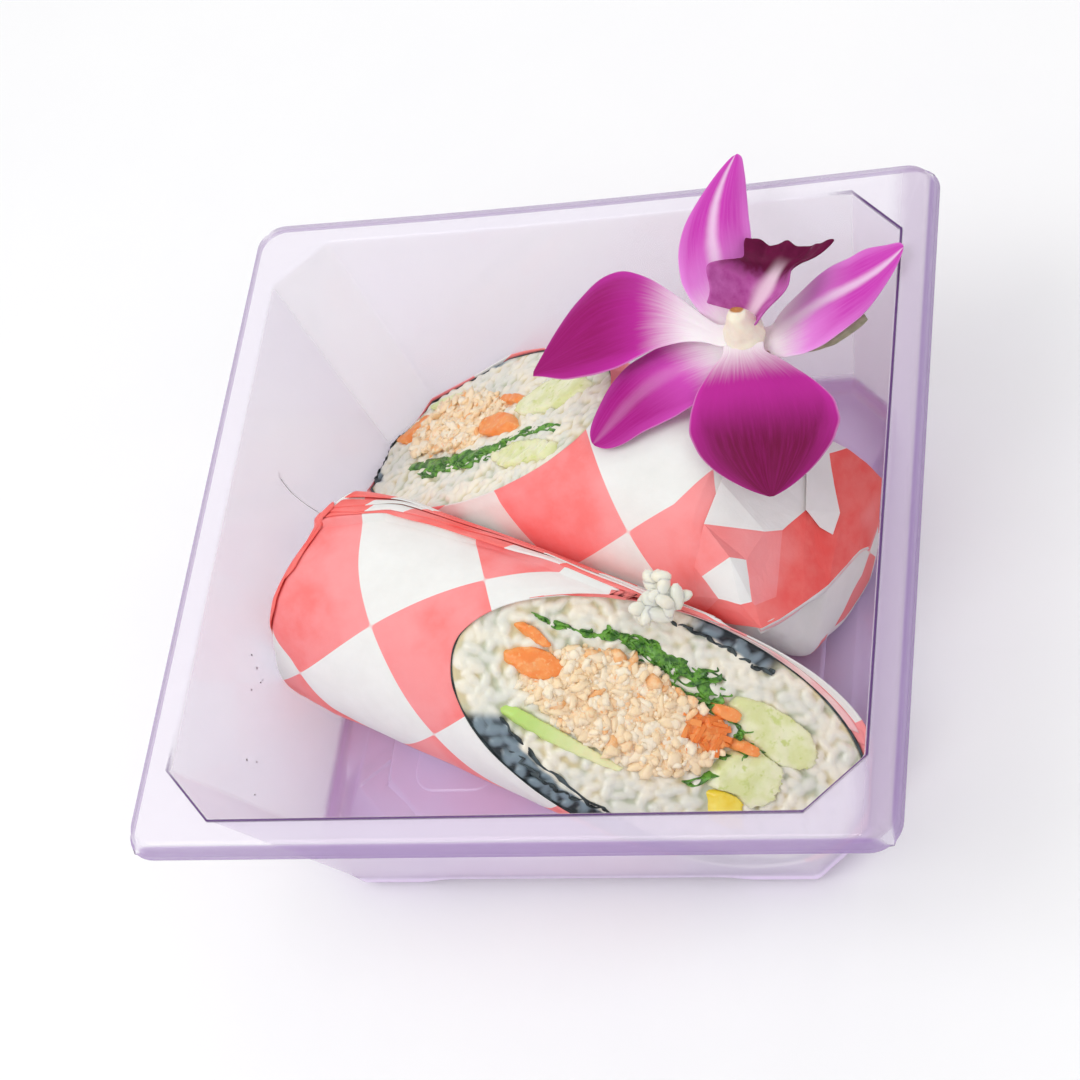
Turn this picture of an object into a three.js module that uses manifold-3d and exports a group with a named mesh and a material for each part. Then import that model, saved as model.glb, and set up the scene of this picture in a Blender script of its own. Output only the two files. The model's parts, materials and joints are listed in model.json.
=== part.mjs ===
// Sushi burrito cut in two and laid side by side in a tinted clear tray, with an orchid on top.
// Millimetres, +Z up, origin at the bottom centre of the tray. The front of the tray faces -Y.
import * as THREE from 'three';
import Module from 'manifold-3d';
import { mergeVertices } from 'three/addons/utils/BufferGeometryUtils.js';
import { ConvexGeometry } from 'three/addons/geometries/ConvexGeometry.js';

// Tray: one sheet of plastic drawn into a square tub with cut corners
const trayWidth = 200;
const trayHeight = 75;
const sheet = 0.9;
const openHalf = 91;
const openChamfer = 14;
const floorHalf = 77.3;
const floorChamfer = 13;
const wallFootZ = 4.5;
const brimZ = 70.6;
const rimRound = 7;
const stepHalf = 70.5;
const stepChamfer = 21;
const stepZ = 3.8;
const platformHalf = 61.5;
const platformChamfer = 14;
const platformZ = 4.3;
const archZ = 2.3;
const archEnd = 38;
const footStart = 47;
const pad = { width: 23.4, depth: 30, round: 6, height: 0.35, x: 41.1, y: 35.4 };

// Burrito: nested layers of one roll, from the paper in to the rice
const layerGap = 0.3;
const paperRadius = 31;
const paperThickness = 0.7;
const noriThickness = 0.6;
const rollSides = 30;
const rollAxisZ = 35.9;
const rollHeading = -24.6;
const rollSpacing = 62.2;
const cutSteepness = 58.4;
const pastCut = 62;
const foodClearance = 0.5;
const foodSettle = 0.15;
const grain = { long: 3.3, wide: 1.55, high: 1.45 };

// Closed end of a half: how far in each layer ends, and over what lengths it rounds, pleats and slopes
const tucks = { paperIn: 0.7, nori: 1.2, noriIn: 1.8, rice: 2.2 };
const roundedLength = 18;
const pleatedLength = 26;
const slopedLength = 34;
const fillingStop = 14;

// Orchid: where its centre lies, and how thick its petals are
const flowerCentre = new THREE.Vector3(51, 47.3, 74);
const petalThickness = 0.9;

const finish = (color, roughness) =>
  new THREE.MeshStandardMaterial({ color, roughness, metalness: 0 });
const looks = {
  plastic: new THREE.MeshStandardMaterial({
    color: 0xd9cdea, roughness: 0.15, metalness: 0, transparent: true, opacity: 0.45,
  }),
  paper: finish(0xf47c7c, 0.8),
  nori: finish(0x26302e, 0.55),
  rice: finish(0xe9e6d6, 0.45),
  crab: finish(0xf4c89c, 0.6),
  carrot: finish(0xf08a3c, 0.5),
  avocado: finish(0xa9cc52, 0.5),
  leaf: finish(0x2f6b25, 0.45),
  cucumber: finish(0xb9cc72, 0.35),
  pickle: finish(0xe8c22c, 0.4),
  petal: finish(0xa8258c, 0.5),
  lip: finish(0x6e0f45, 0.5),
  column: finish(0xf1ead0, 0.5),
  stem: finish(0x9a9a80, 0.6),
};

const wasm = await Module();
wasm.setup();

// Solids and booleans ------------------------------------------------------------------------

const radians = THREE.MathUtils.degToRad;
const upward = new THREE.Vector3(0, 0, 1);

function seededRandom(seed) {
  let state = seed;
  return () => {
    state = (state * 1664525 + 1013904223) % 4294967296;
    return state / 4294967296;
  };
}

function bare(geometry) {
  const copy = geometry.clone();
  copy.deleteAttribute('normal');
  copy.deleteAttribute('uv');
  return mergeVertices(copy, 1e-4);
}

function signedVolume(geometry) {
  const spots = geometry.attributes.position;
  const corners = [0, 1, 2].map(() => new THREE.Vector3());
  let volume = 0;
  for (let i = 0; i < geometry.index.count; i += 3) {
    corners.forEach((corner, k) => corner.fromBufferAttribute(spots, geometry.index.getX(i + k)));
    volume += corners[0].dot(corners[1].clone().cross(corners[2])) / 6;
  }
  return volume;
}

function facingOut(geometry) {
  if (signedVolume(geometry) < 0) {
    const flipped = Array.from(geometry.index.array);
    for (let i = 0; i < flipped.length; i += 3) {
      [flipped[i], flipped[i + 1]] = [flipped[i + 1], flipped[i]];
    }
    geometry.setIndex(flipped);
  }
  return geometry;
}

function toSolid(geometry) {
  const clean = facingOut(bare(geometry));
  return new wasm.Manifold(new wasm.Mesh({
    numProp: 3,
    vertProperties: new Float32Array(clean.attributes.position.array),
    triVerts: new Uint32Array(clean.index.array),
  }));
}

// Back to a geometry, with only the largest connected skin kept: scraps and sealed hollows go
function fromSolid(solid) {
  const { vertProperties, triVerts } = solid.getMesh();
  const geometry = new THREE.BufferGeometry();
  geometry.setAttribute('position', new THREE.BufferAttribute(new Float32Array(vertProperties), 3));
  geometry.setIndex(Array.from(triVerts));
  const merged = mergeVertices(geometry, 1e-5);
  const leader = Array.from({ length: merged.attributes.position.count }, (_, i) => i);
  const find = (i) => {
    while (leader[i] !== i) i = leader[i];
    return i;
  };
  const faces = merged.index.array;
  for (let i = 0; i < faces.length; i += 3) {
    const root = find(faces[i]);
    leader[find(faces[i + 1])] = root;
    leader[find(faces[i + 2])] = root;
  }
  const skins = new Map();
  for (let i = 0; i < faces.length; i += 3) {
    const root = find(faces[i]);
    if (!skins.has(root)) skins.set(root, []);
    skins.get(root).push(faces[i], faces[i + 1], faces[i + 2]);
  }
  const largest = [...skins.values()].sort((a, b) => b.length - a.length)[0];
  const kept = new THREE.BufferGeometry();
  kept.setAttribute('position', merged.attributes.position);
  kept.setIndex(largest);
  const tidy = mergeVertices(kept.toNonIndexed(), 1e-5);
  tidy.computeVertexNormals();
  return tidy;
}

const cut = (solid, cutters) => cutters.reduce((left, cutter) => left.subtract(cutter), solid);
const join = (solid, extras) => extras.reduce((left, extra) => left.add(extra), solid);

function named(name, geometry, material) {
  const mesh = new THREE.Mesh(geometry, material);
  mesh.name = name;
  return mesh;
}

// A closed skin over rings that all have the same number of points
function loft(rings) {
  const count = rings[0].length;
  const middle = (ring) => ring.reduce((sum, p) => sum.add(p), new THREE.Vector3()).divideScalar(count);
  const spots = [...rings.flat(), middle(rings[0]), middle(rings.at(-1))];
  const faces = [];
  for (let r = 0; r < rings.length - 1; r += 1) {
    for (let k = 0; k < count; k += 1) {
      const a = r * count + k;
      const b = r * count + ((k + 1) % count);
      faces.push(a, b, b + count, a, b + count, a + count);
    }
  }
  const first = rings.length * count;
  const last = (rings.length - 1) * count;
  for (let k = 0; k < count; k += 1) {
    const next = (k + 1) % count;
    faces.push(first, next, k, first + 1, last + k, last + next);
  }
  const geometry = new THREE.BufferGeometry().setFromPoints(spots);
  geometry.setIndex(faces);
  return geometry;
}

// Tray ----------------------------------------------------------------------------------------

// One level ring of the tray: four cut or rounded corners, and points where the feet begin
function trayRing({ half, chamfer = 0, round = 0, z, footZ = z }) {
  const ease = Math.min(2, chamfer / 5);
  const straight = half - (round || chamfer + ease);
  const footAt = Math.min(footStart, 0.88 * straight);
  const archAt = Math.min(archEnd, 0.7 * straight);
  const side = [[half, -footAt, footZ], [half, -archAt, z], [half, archAt, z], [half, footAt, footZ]];
  const inner = half - round;
  const rounded = [0, 30, 60, 90].map(radians)
    .map((turn) => [inner + round * Math.cos(turn), inner + round * Math.sin(turn), footZ]);
  const [shy, full] = [half - chamfer - ease, half - chamfer + ease];
  const eased = half - 0.7 * ease;
  const chamfered = [[half, shy, footZ], [eased, full, footZ], [full, eased, footZ], [shy, half, footZ]];
  const quarter = [...side, ...(round ? rounded : chamfered)];
  return [0, 1, 2, 3].flatMap((turn) => quarter.map(([x, y, level]) => (
    new THREE.Vector3(x, y, level).applyAxisAngle(upward, (turn * Math.PI) / 2)
  )));
}

function tray() {
  const half = trayWidth / 2;
  const top = trayHeight;
  const upper = [
    { half: platformHalf - 0.6, chamfer: platformChamfer, z: platformZ },
    { half: platformHalf + 0.3, chamfer: platformChamfer, z: stepZ },
    { half: stepHalf - 0.6, chamfer: stepChamfer, z: stepZ },
    { half: stepHalf + 0.3, chamfer: stepChamfer, z: archZ + sheet, footZ: archZ + sheet },
    { half: stepHalf + 2.4, chamfer: 16.5, z: archZ + sheet, footZ: sheet },
    { half: floorHalf - 1.6, chamfer: floorChamfer, z: archZ + sheet, footZ: sheet },
    { half: floorHalf, chamfer: floorChamfer, z: wallFootZ + 0.6, footZ: wallFootZ - 1.2 },
    { half: openHalf, chamfer: openChamfer, z: top - 0.9 },
    { half: openHalf + 0.8, chamfer: openChamfer, z: top },
    { half: half - 3.2, round: rimRound - 1, z: top },
    { half: half - 1.3, round: rimRound, z: top - 1.4 },
    { half: half - 1, round: rimRound, z: brimZ + 0.4 },
    { half, round: rimRound + 1, z: brimZ },
  ];
  const under = [
    { half, round: rimRound + 1, z: brimZ - sheet },
    { half: half - 1.9, round: rimRound - 0.5, z: brimZ - sheet + 0.4 },
    { half: half - 2.2, round: rimRound - 0.8, z: top - 1.8 },
    { half: half - 3.6, round: rimRound - 1.6, z: top - sheet },
    { half: openHalf + 1.7, chamfer: openChamfer, z: top - sheet },
    { half: openHalf + 0.9, chamfer: openChamfer, z: top - 1.5 },
    { half: floorHalf + 0.9, chamfer: floorChamfer, z: wallFootZ, footZ: wallFootZ - 1.6 },
    { half: floorHalf - 1, chamfer: floorChamfer, z: archZ, footZ: 0 },
    { half: stepHalf + 1.2, chamfer: 17.5, z: archZ, footZ: 0 },
    { half: stepHalf - 0.2, chamfer: stepChamfer, z: archZ, footZ: archZ - 0.3 },
    { half: stepHalf - 1.1, chamfer: stepChamfer, z: stepZ - sheet },
    { half: platformHalf - 0.2, chamfer: platformChamfer, z: stepZ - sheet },
    { half: platformHalf - 1.1, chamfer: platformChamfer, z: platformZ - sheet },
  ];
  const tub = toSolid(loft([...upper, ...under].map(trayRing)));
  const pads = [-1, 1].flatMap((sx) => [-1, 1].map((sy) => {
    const { width, depth, round, height } = pad;
    const outline = new THREE.Shape();
    const [w, d] = [width / 2, depth / 2];
    outline.moveTo(-w + round, -d);
    outline.absarc(w - round, -d + round, round, -Math.PI / 2, 0);
    outline.absarc(w - round, d - round, round, 0, Math.PI / 2);
    outline.absarc(-w + round, d - round, round, Math.PI / 2, Math.PI);
    outline.absarc(-w + round, -d + round, round, Math.PI, 1.5 * Math.PI);
    const options = { depth: height + sheet / 2, bevelEnabled: false, curveSegments: 2 };
    const block = new THREE.ExtrudeGeometry(outline, options);
    return toSolid(block.translate(sx * pad.x, sy * pad.y, platformZ - sheet / 2));
  }));
  return named('tray', fromSolid(join(tub, pads)), looks.plastic);
}

// The room inside the tray, drawn in by a clearance, as one convex block
function room(clearance, placement) {
  const corners = [];
  const level = (half, chamfer, z) => {
    for (const sx of [-1, 1]) {
      for (const sy of [-1, 1]) {
        corners.push(new THREE.Vector3(sx * half, sy * (half - chamfer), z));
        corners.push(new THREE.Vector3(sx * (half - chamfer), sy * half, z));
      }
    }
  };
  const widening = (openHalf - floorHalf) / (trayHeight - wallFootZ);
  const bottom = platformZ + pad.height + clearance - foodSettle;
  const top = trayHeight + 10;
  const cutIn = clearance * 0.6;
  level(floorHalf - clearance, floorChamfer + cutIn, bottom);
  level(floorHalf + widening * (top - bottom) - clearance, openChamfer + cutIn, top);
  const block = new ConvexGeometry(corners);
  return toSolid(block.applyMatrix4(placement.clone().invert()));
}

// Roll ----------------------------------------------------------------------------------------

// Outlines lie across the roll: x of an outline point is y of the roll, y of it is z

function blob(y, z, halfY, halfZ, turn = 0, wobble = 0.06, waves = 5, points = 14) {
  return (grow) => Array.from({ length: points }, (_, i) => {
    const a = (i / points) * 2 * Math.PI;
    const swell = 1 + wobble * Math.sin(waves * a + y) + wobble * 0.6 * Math.sin((waves + 3) * a + z);
    return new THREE.Vector2((halfY * swell + grow) * Math.cos(a), (halfZ * swell + grow) * Math.sin(a))
      .rotateAround(new THREE.Vector2(), radians(turn))
      .add(new THREE.Vector2(y, z));
  });
}

function bar(y, z, width, height, turn = 0) {
  return (grow) => {
    const [w, h] = [width / 2 + grow, height / 2 + grow];
    const bite = 0.25 * Math.min(width, height);
    const right = [[w, -h + bite], [w, h - bite], [w - bite, h]];
    const left = [[-w + bite, h], [-w, h - bite], [-w, -h + bite]];
    return [...right, ...left, [-w + bite, -h], [w - bite, -h]]
      .map(([a, b]) => new THREE.Vector2(a, b)
        .rotateAround(new THREE.Vector2(), radians(turn))
        .add(new THREE.Vector2(y, z)));
  };
}

// A folded sheet such as a leaf: a run of points with the thickness at each
function strip(spots, ruffle = 0, samples = 9) {
  const line = new THREE.CatmullRomCurve3(spots.map(([y, z, thick]) => new THREE.Vector3(y, z, thick)));
  return (grow) => {
    const near = [];
    const far = [];
    for (let i = 0; i <= samples; i += 1) {
      const at = line.getPoint(i / samples);
      const way = line.getTangent(i / samples);
      const side = new THREE.Vector2(-way.y, way.x).normalize();
      const sway = ruffle * Math.sin(i * 1.9);
      const ends = grow * ((i === samples) - (i === 0));
      const spot = new THREE.Vector2(at.x + ends * side.y, at.y - ends * side.x);
      spot.addScaledVector(side, sway);
      const reach = Math.max(0.35, at.z / 2) + grow;
      near.push(spot.clone().addScaledVector(side, reach));
      far.push(spot.clone().addScaledVector(side, -reach));
    }
    return [...near, ...far.reverse()];
  };
}

function inside(point, outline) {
  let within = false;
  outline.forEach((a, i) => {
    const b = outline[(i + 1) % outline.length];
    const crosses = (a.y > point.y) !== (b.y > point.y);
    if (crosses && point.x < ((b.x - a.x) * (point.y - a.y)) / (b.y - a.y) + a.x) within = !within;
  });
  return within;
}

const alongRoll = new THREE.Matrix4().makeBasis(
  new THREE.Vector3(0, 1, 0), new THREE.Vector3(0, 0, 1), new THREE.Vector3(1, 0, 0),
);

function prism(outline, from) {
  const options = { depth: pastCut - from, bevelEnabled: false };
  const block = new THREE.ExtrudeGeometry(new THREE.Shape(outline), options);
  return toSolid(block.applyMatrix4(alongRoll).translate(from, 0, 0));
}

// Everything on the outer side of a plane through the roll's axis at `offset` past the cut centre
function beyond(normal, offset) {
  const size = 400;
  const block = new THREE.BoxGeometry(size, size, size).translate(0, 0, size / 2);
  const tip = new THREE.Quaternion().setFromUnitVectors(upward, normal);
  return toSolid(block.applyQuaternion(tip).translate(...normal.clone().multiplyScalar(offset)));
}

function cutNormal(steepness, lean) {
  const [s, l] = [radians(steepness), radians(lean)];
  return new THREE.Vector3(Math.cos(s), -Math.sin(s) * Math.sin(l), Math.sin(s) * Math.cos(l));
}

// Angles round the roll, with a close pair where the paper's free edge steps down. `shift` moves the
// pair with the edge and takes the angles near it along.
function rollAngles(seam, shift) {
  const step = 0.8;
  const drawnAlong = 110;
  const even = Array.from({ length: rollSides }, (_, i) => (i * 360) / rollSides);
  const clear = even.filter((angle) => Math.abs(angle - seam) > 4 * step);
  return [...clear, seam - step, seam + step].sort((a, b) => a - b).map((angle) => (
    angle + shift * Math.max(0, 1 - Math.abs(angle - seam) / drawnAlong)
  ));
}

function smoothStep(from, to, value) {
  const t = Math.min(1, Math.max(0, (value - from) / (to - from)));
  return t * t * (3 - 2 * t);
}

// Falls from 1 at the closed end of a half to 0 at `reach` from it
const fromEnd = (x, length, reach) => Math.max(0, 1 - (x + length) / reach);

// A round-ended skin: `relief` adds to the radius at an angle and place, `tuck` is how far in it ends
// and `slope` is how far the top of the closed end is set back from its foot
function rollSkin({ length, seam, seamShift, slope, tuck, radius, stations, relief }) {
  const closing = stations > 3 ? [[0, 0.82], [1, 0.92], [4, 0.975]] : [[0, 0.84], [3, 0.97]];
  const places = [
    ...closing.map(([ahead, shrink]) => [-length + tuck + ahead, shrink]),
    ...Array.from({ length: stations }, (_, i) => {
      const start = roundedLength - length;
      return [start + ((pastCut - start) * i) / (stations - 1), 1];
    }),
  ];
  return loft(places.map(([x, shrink]) => rollAngles(seam, seamShift(x)).map((angle) => {
    const r = radius * shrink + relief(angle, x, shrink);
    const setBack = slope * Math.max(0, Math.sin(radians(angle))) * fromEnd(x, length, slopedLength);
    return new THREE.Vector3(x + setBack, r * Math.cos(radians(angle)), r * Math.sin(radians(angle)));
  })));
}

// Paper: creases along the roll, a free edge that stands up along the seam, pleats at the closed end.
// All of it fades where the two halves press on each other, at angle 0.
function paperRelief({ length, seam, seamShift, lift, pleats, pleatDepth }) {
  const flapWidth = 60;
  const creaseDepth = 0.22;
  const slack = 0.25;
  return (angle, x, shrink) => {
    const past = (seam + seamShift(x) - angle + 360) % 360;
    const flap = lift * Math.max(0, 1 - past / flapWidth) ** 1.5;
    const turn = (((pleats * angle) / 360 + x / 90) % 1 + 1) % 1;
    const zigzag = 0.5 - Math.abs(2 * turn - 1);
    const pleat = pleatDepth * fromEnd(x, length, pleatedLength) * zigzag;
    const crease = creaseDepth * Math.sin(radians(3 * angle + 2.6 * x)) * Math.sin(x / 9 + angle / 40);
    const pressed = Math.max(0, Math.cos(radians(angle))) ** 4;
    return ((flap + crease + slack) * shrink + pleat) * (1 - pressed);
  };
}

function grainAt(spot, normal, random, scale = 1) {
  const seed = new THREE.SphereGeometry(1, 5, 3);
  seed.scale(grain.long * scale, grain.wide * scale, grain.high * scale);
  seed.rotateZ(random() * Math.PI);
  seed.rotateX((random() - 0.5) * 0.7);
  seed.rotateY((random() - 0.5) * 0.7);
  const tip = new THREE.Quaternion().setFromUnitVectors(upward, normal);
  return toSolid(seed.applyQuaternion(tip).translate(spot.x, spot.y, spot.z));
}

// Small lumps fused on the cut face, spread evenly over the outline `within` and off the others
function facePieces({ count, spacing, normal, offset, within, avoid, random, make }) {
  const mostTries = 4000;
  const spots = [];
  for (let tries = 0; tries < mostTries && spots.length < count; tries += 1) {
    const flat = new THREE.Vector2(random() - 0.5, random() - 0.5).multiplyScalar(2 * paperRadius);
    const x = (offset - normal.y * flat.x - normal.z * flat.y) / normal.x;
    const spot = new THREE.Vector3(x, flat.x, flat.y);
    const clear = inside(flat, within) && !avoid.some((outline) => inside(flat, outline));
    if (clear && spots.every((other) => other.distanceTo(spot) > spacing)) spots.push(spot);
  }
  return spots.map((spot) => make(spot));
}

function half(spec) {
  const { name, length, seam, slope, lean, place, heading, fillings, riceGrains, tail, flapRise } = spec;
  const { seamShift } = spec;
  const random = seededRandom(spec.seed);
  const group = new THREE.Group();
  group.position.copy(place);
  group.rotation.z = radians(heading);
  group.updateMatrixWorld(true);
  const placement = group.matrixWorld;
  const normal = cutNormal(cutSteepness, lean);
  const stack = { paper: paperRadius };
  stack.paperIn = stack.paper - paperThickness;
  stack.nori = stack.paperIn - layerGap;
  stack.noriIn = stack.nori - noriThickness;
  stack.rice = stack.noriIn - layerGap;

  const drawnIn = (angle, x) => -0.5 * spec.pleatDepth * fromEnd(x, length, pleatedLength);
  const layer = (radius, tuck, relief = drawnIn, stations = 3) => {
    const skin = toSolid(rollSkin({ length, seam, seamShift, slope, tuck, radius, stations, relief }));
    return skin.intersect(room(foodClearance + (stack.paper - radius), placement));
  };

  const flapCut = beyond(cutNormal(cutSteepness, lean + flapRise), -0.7);
  const paperCut = beyond(normal, 0.3).intersect(flapCut);
  const paperSkin = layer(stack.paper, 0, paperRelief(spec), 10);
  const paperSolid = cut(paperSkin, [layer(stack.paperIn, tucks.paperIn), paperCut]);
  group.add(named(`${name}_wrap`, fromSolid(paperSolid), looks.paper));

  const back = slope + fillingStop - length;
  const noriOut = layer(stack.nori, tucks.nori);
  const noriRing = cut(noriOut, [layer(stack.noriIn, tucks.noriIn)]);
  const tails = tail ? [prism(tail(0), back)] : [];
  const noriSolid = cut(join(noriRing, tails.map((t) => t.intersect(noriOut))), [beyond(normal, 0.2)]);
  group.add(named(`${name}_nori`, fromSolid(noriSolid), looks.nori));

  const taken = tail ? [prism(tail(layerGap), back - layerGap)] : [];
  fillings.forEach(({ node, outline, look, lift = 0, start = back, lumps, spacing = 3 }) => {
    let solid = cut(prism(outline(0), start), [...taken, beyond(normal, lift)]);
    if (lumps) {
      const { lump, count, high = 0.6 } = lumps;
      const extras = facePieces({
        count, spacing, normal, random, offset: lift - 0.2, within: outline(-lump * 0.8), avoid: [],
        make: (spot) => {
          const bit = new THREE.IcosahedronGeometry(lump * (0.75 + 0.5 * random()), 0);
          bit.scale(1.25, 1, high).rotateZ(random() * 3);
          const tip = new THREE.Quaternion().setFromUnitVectors(upward, normal);
          return toSolid(bit.applyQuaternion(tip).translate(spot.x, spot.y, spot.z));
        },
      });
      solid = cut(join(solid, extras), taken);
    }
    group.add(named(`${name}_${node}`, fromSolid(solid), looks[look]));
    taken.push(prism(outline(layerGap), start - layerGap));
  });

  const riceSkin = layer(stack.rice, tucks.rice);
  const riceCore = cut(riceSkin, [beyond(normal, -0.6), ...taken]);
  const disc = Array.from({ length: rollSides }, (_, i) => new THREE.Vector2(stack.rice - grain.wide, 0)
    .rotateAround(new THREE.Vector2(), (i / rollSides) * 2 * Math.PI));
  const grains = facePieces({
    count: riceGrains, spacing: 4.2, normal, random, offset: -0.2, within: disc,
    avoid: [...fillings.map(({ outline }) => outline(1.3)), ...(tail ? [tail(1)] : [])],
    make: (spot) => grainAt(spot, normal, random, 0.9 + 0.2 * random()),
  });
  const riceSolid = cut(join(riceCore, grains.map((g) => g.intersect(riceSkin))), taken);
  group.add(named(`${name}_rice`, fromSolid(riceSolid), looks.rice));
  return group;
}

const headingWay = new THREE.Vector3(Math.cos(radians(rollHeading)), Math.sin(radians(rollHeading)), 0);
const acrossWay = new THREE.Vector3(-headingWay.y, headingWay.x, 0);
const rollsMiddle = new THREE.Vector3(-4.2, 0.3, rollAxisZ);

function halfPlace(along, side) {
  const place = rollsMiddle.clone().addScaledVector(headingWay, along);
  return place.addScaledVector(acrossWay, (side * rollSpacing) / 2);
}

const frontHalf = half({
  name: 'front',
  seed: 11,
  length: 112,
  lean: 19,
  flapRise: 8.7,
  slope: 3,
  seam: 47,
  // the edge climbs to the closed end, where it folds over, and to the long tip of the cut
  seamShift: (x) => 36 * smoothStep(-86, -108, x) + 26 * smoothStep(22, 70, x) - 4 * Math.sin(x / 16),
  lift: 2,
  pleats: 5,
  pleatDepth: 2.4,
  heading: rollHeading,
  place: halfPlace(49.7, -1),
  riceGrains: 32,
  // the end of the nori sheet, tucked in 5 mm under its first turn
  tail: strip([[-14, -26.2, 0.6], [-20, -20.5, 0.6], [-24.4, -12, 0.6], [-25.6, -4, 0.6], [-24.6, 5, 0.6],
    [-21.8, 11, 0.6], [-19, 15, 0.6]]),
  fillings: [
    { node: 'carrot_bar', look: 'carrot', lift: 0.7, outline: bar(-3.4, 19.3, 7.6, 5.8, -12) },
    { node: 'carrot_strip', look: 'carrot', lift: 0.6, outline: bar(2.4, 23, 2, 4.8, -20) },
    { node: 'carrot_dice_a', look: 'carrot', lift: 1.2, outline: bar(11.6, -3.2, 3.6, 3.2, 25), start: -12 },
    { node: 'carrot_dice_b', look: 'carrot', lift: 1.4, outline: bar(6.8, -9.3, 3, 2.8, 40), start: -10 },
    { node: 'carrot_shreds', look: 'carrot', lift: 0.8, outline: blob(4.6, -3.4, 5, 3.6, 20, 0.1),
      lumps: { lump: 1.5, count: 6 }, spacing: 3 },
    { node: 'greens', look: 'leaf', lift: 0.9, outline: strip([[6.4, 25, 1], [8.8, 20, 1.2], [12.2, 16, 2.4],
      [15, 10, 3.6], [15.4, 4.4, 4.2], [13.6, 0.4, 3]], 0.5) },
    { node: 'avocado', look: 'avocado', lift: 0.3, outline: strip([[-16.6, 15.4, 3], [-16.4, 10, 4],
      [-15.6, 4.4, 3.4], [-14.4, -1.6, 1.8]]) },
    { node: 'pickle', look: 'pickle', lift: -0.2, outline: bar(-8.6, -16.6, 8.6, 4.2, 32) },
    { node: 'cucumber_a', look: 'cucumber', lift: 0.1, outline: blob(14, -11, 5.2, 8, -28, 0.05, 3) },
    { node: 'cucumber_b', look: 'cucumber', lift: 0.4, outline: blob(1.4, -14, 9.4, 4.2, 12, 0.05, 3) },
    { node: 'crab', look: 'crab', lift: 0.9, outline: blob(-1.3, 5.4, 11.8, 13.6, 0, 0.06, 4, 20),
      lumps: { lump: 2.2, count: 20 }, spacing: 4.6 },
  ],
});

const backHalf = half({
  name: 'back',
  seed: 23,
  length: 117,
  lean: 4.2,
  flapRise: 0,
  slope: 17,
  seam: 128,
  seamShift: () => 0,
  lift: 1.2,
  pleats: 4,
  pleatDepth: 4,
  heading: rollHeading + 180,
  place: halfPlace(-49.7, 1),
  riceGrains: 21,
  fillings: [
    { node: 'carrot_bar', look: 'carrot', lift: 0.6, outline: bar(-1, 3.6, 8, 7, 35) },
    { node: 'carrot_strip', look: 'carrot', lift: 0.8, outline: bar(-1, -20.4, 11, 2.2, -18) },
    { node: 'carrot_end', look: 'carrot', lift: 0.5, outline: bar(-11, 2.2, 2.8, 5.6, -10) },
    { node: 'greens', look: 'leaf', lift: 0.9, outline: strip([[13.6, -12.6, 3], [12.6, -5, 4], [10.4, 2, 4],
      [7.6, 8, 2.4], [2.6, 12, 1.6], [0.6, 17, 1.2], [2.6, 23, 1]], 0.5) },
    { node: 'avocado', look: 'avocado', lift: 0.3, outline: strip([[-9.8, -21.6, 2], [-13, -17.4, 3.2],
      [-14.6, -12, 2.4]]) },
    { node: 'cucumber', look: 'cucumber', lift: 0.3, outline: blob(-11.6, 12.6, 8.4, 5.8, -42, 0.05, 3) },
    { node: 'lettuce', look: 'cucumber', lift: 0.2, outline: blob(10.4, 17.4, 4.6, 7.4, 12, 0.08, 5) },
    { node: 'crab', look: 'crab', lift: 0.8, outline: blob(-2.4, -8.6, 11.6, 9.6, -6, 0.07, 4, 18),
      lumps: { lump: 2.2, count: 15 }, spacing: 4.8 },
  ],
});

// A few grains that fell on the edge of the front half
function strayRice() {
  const random = seededRandom(5);
  const spots = [[0, 0, 0], [3.4, 1.6, 0.2], [-2.8, 2.4, 0.2], [0.6, 4.6, 0], [2.6, -2.6, -0.2],
    [-2, -2.8, -0.2], [0.6, 1.2, 1.7]];
  const grains = spots.map((spot) => grainAt(new THREE.Vector3(...spot), upward, random));
  const mesh = named('stray_rice', fromSolid(join(grains[0], grains.slice(1))), looks.rice);
  mesh.position.set(30.2, -23.8, 58.8);
  mesh.quaternion.setFromUnitVectors(upward, new THREE.Vector3(0.36, -0.47, 0.8).normalize());
  return mesh;
}

// Orchid --------------------------------------------------------------------------------------

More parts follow.
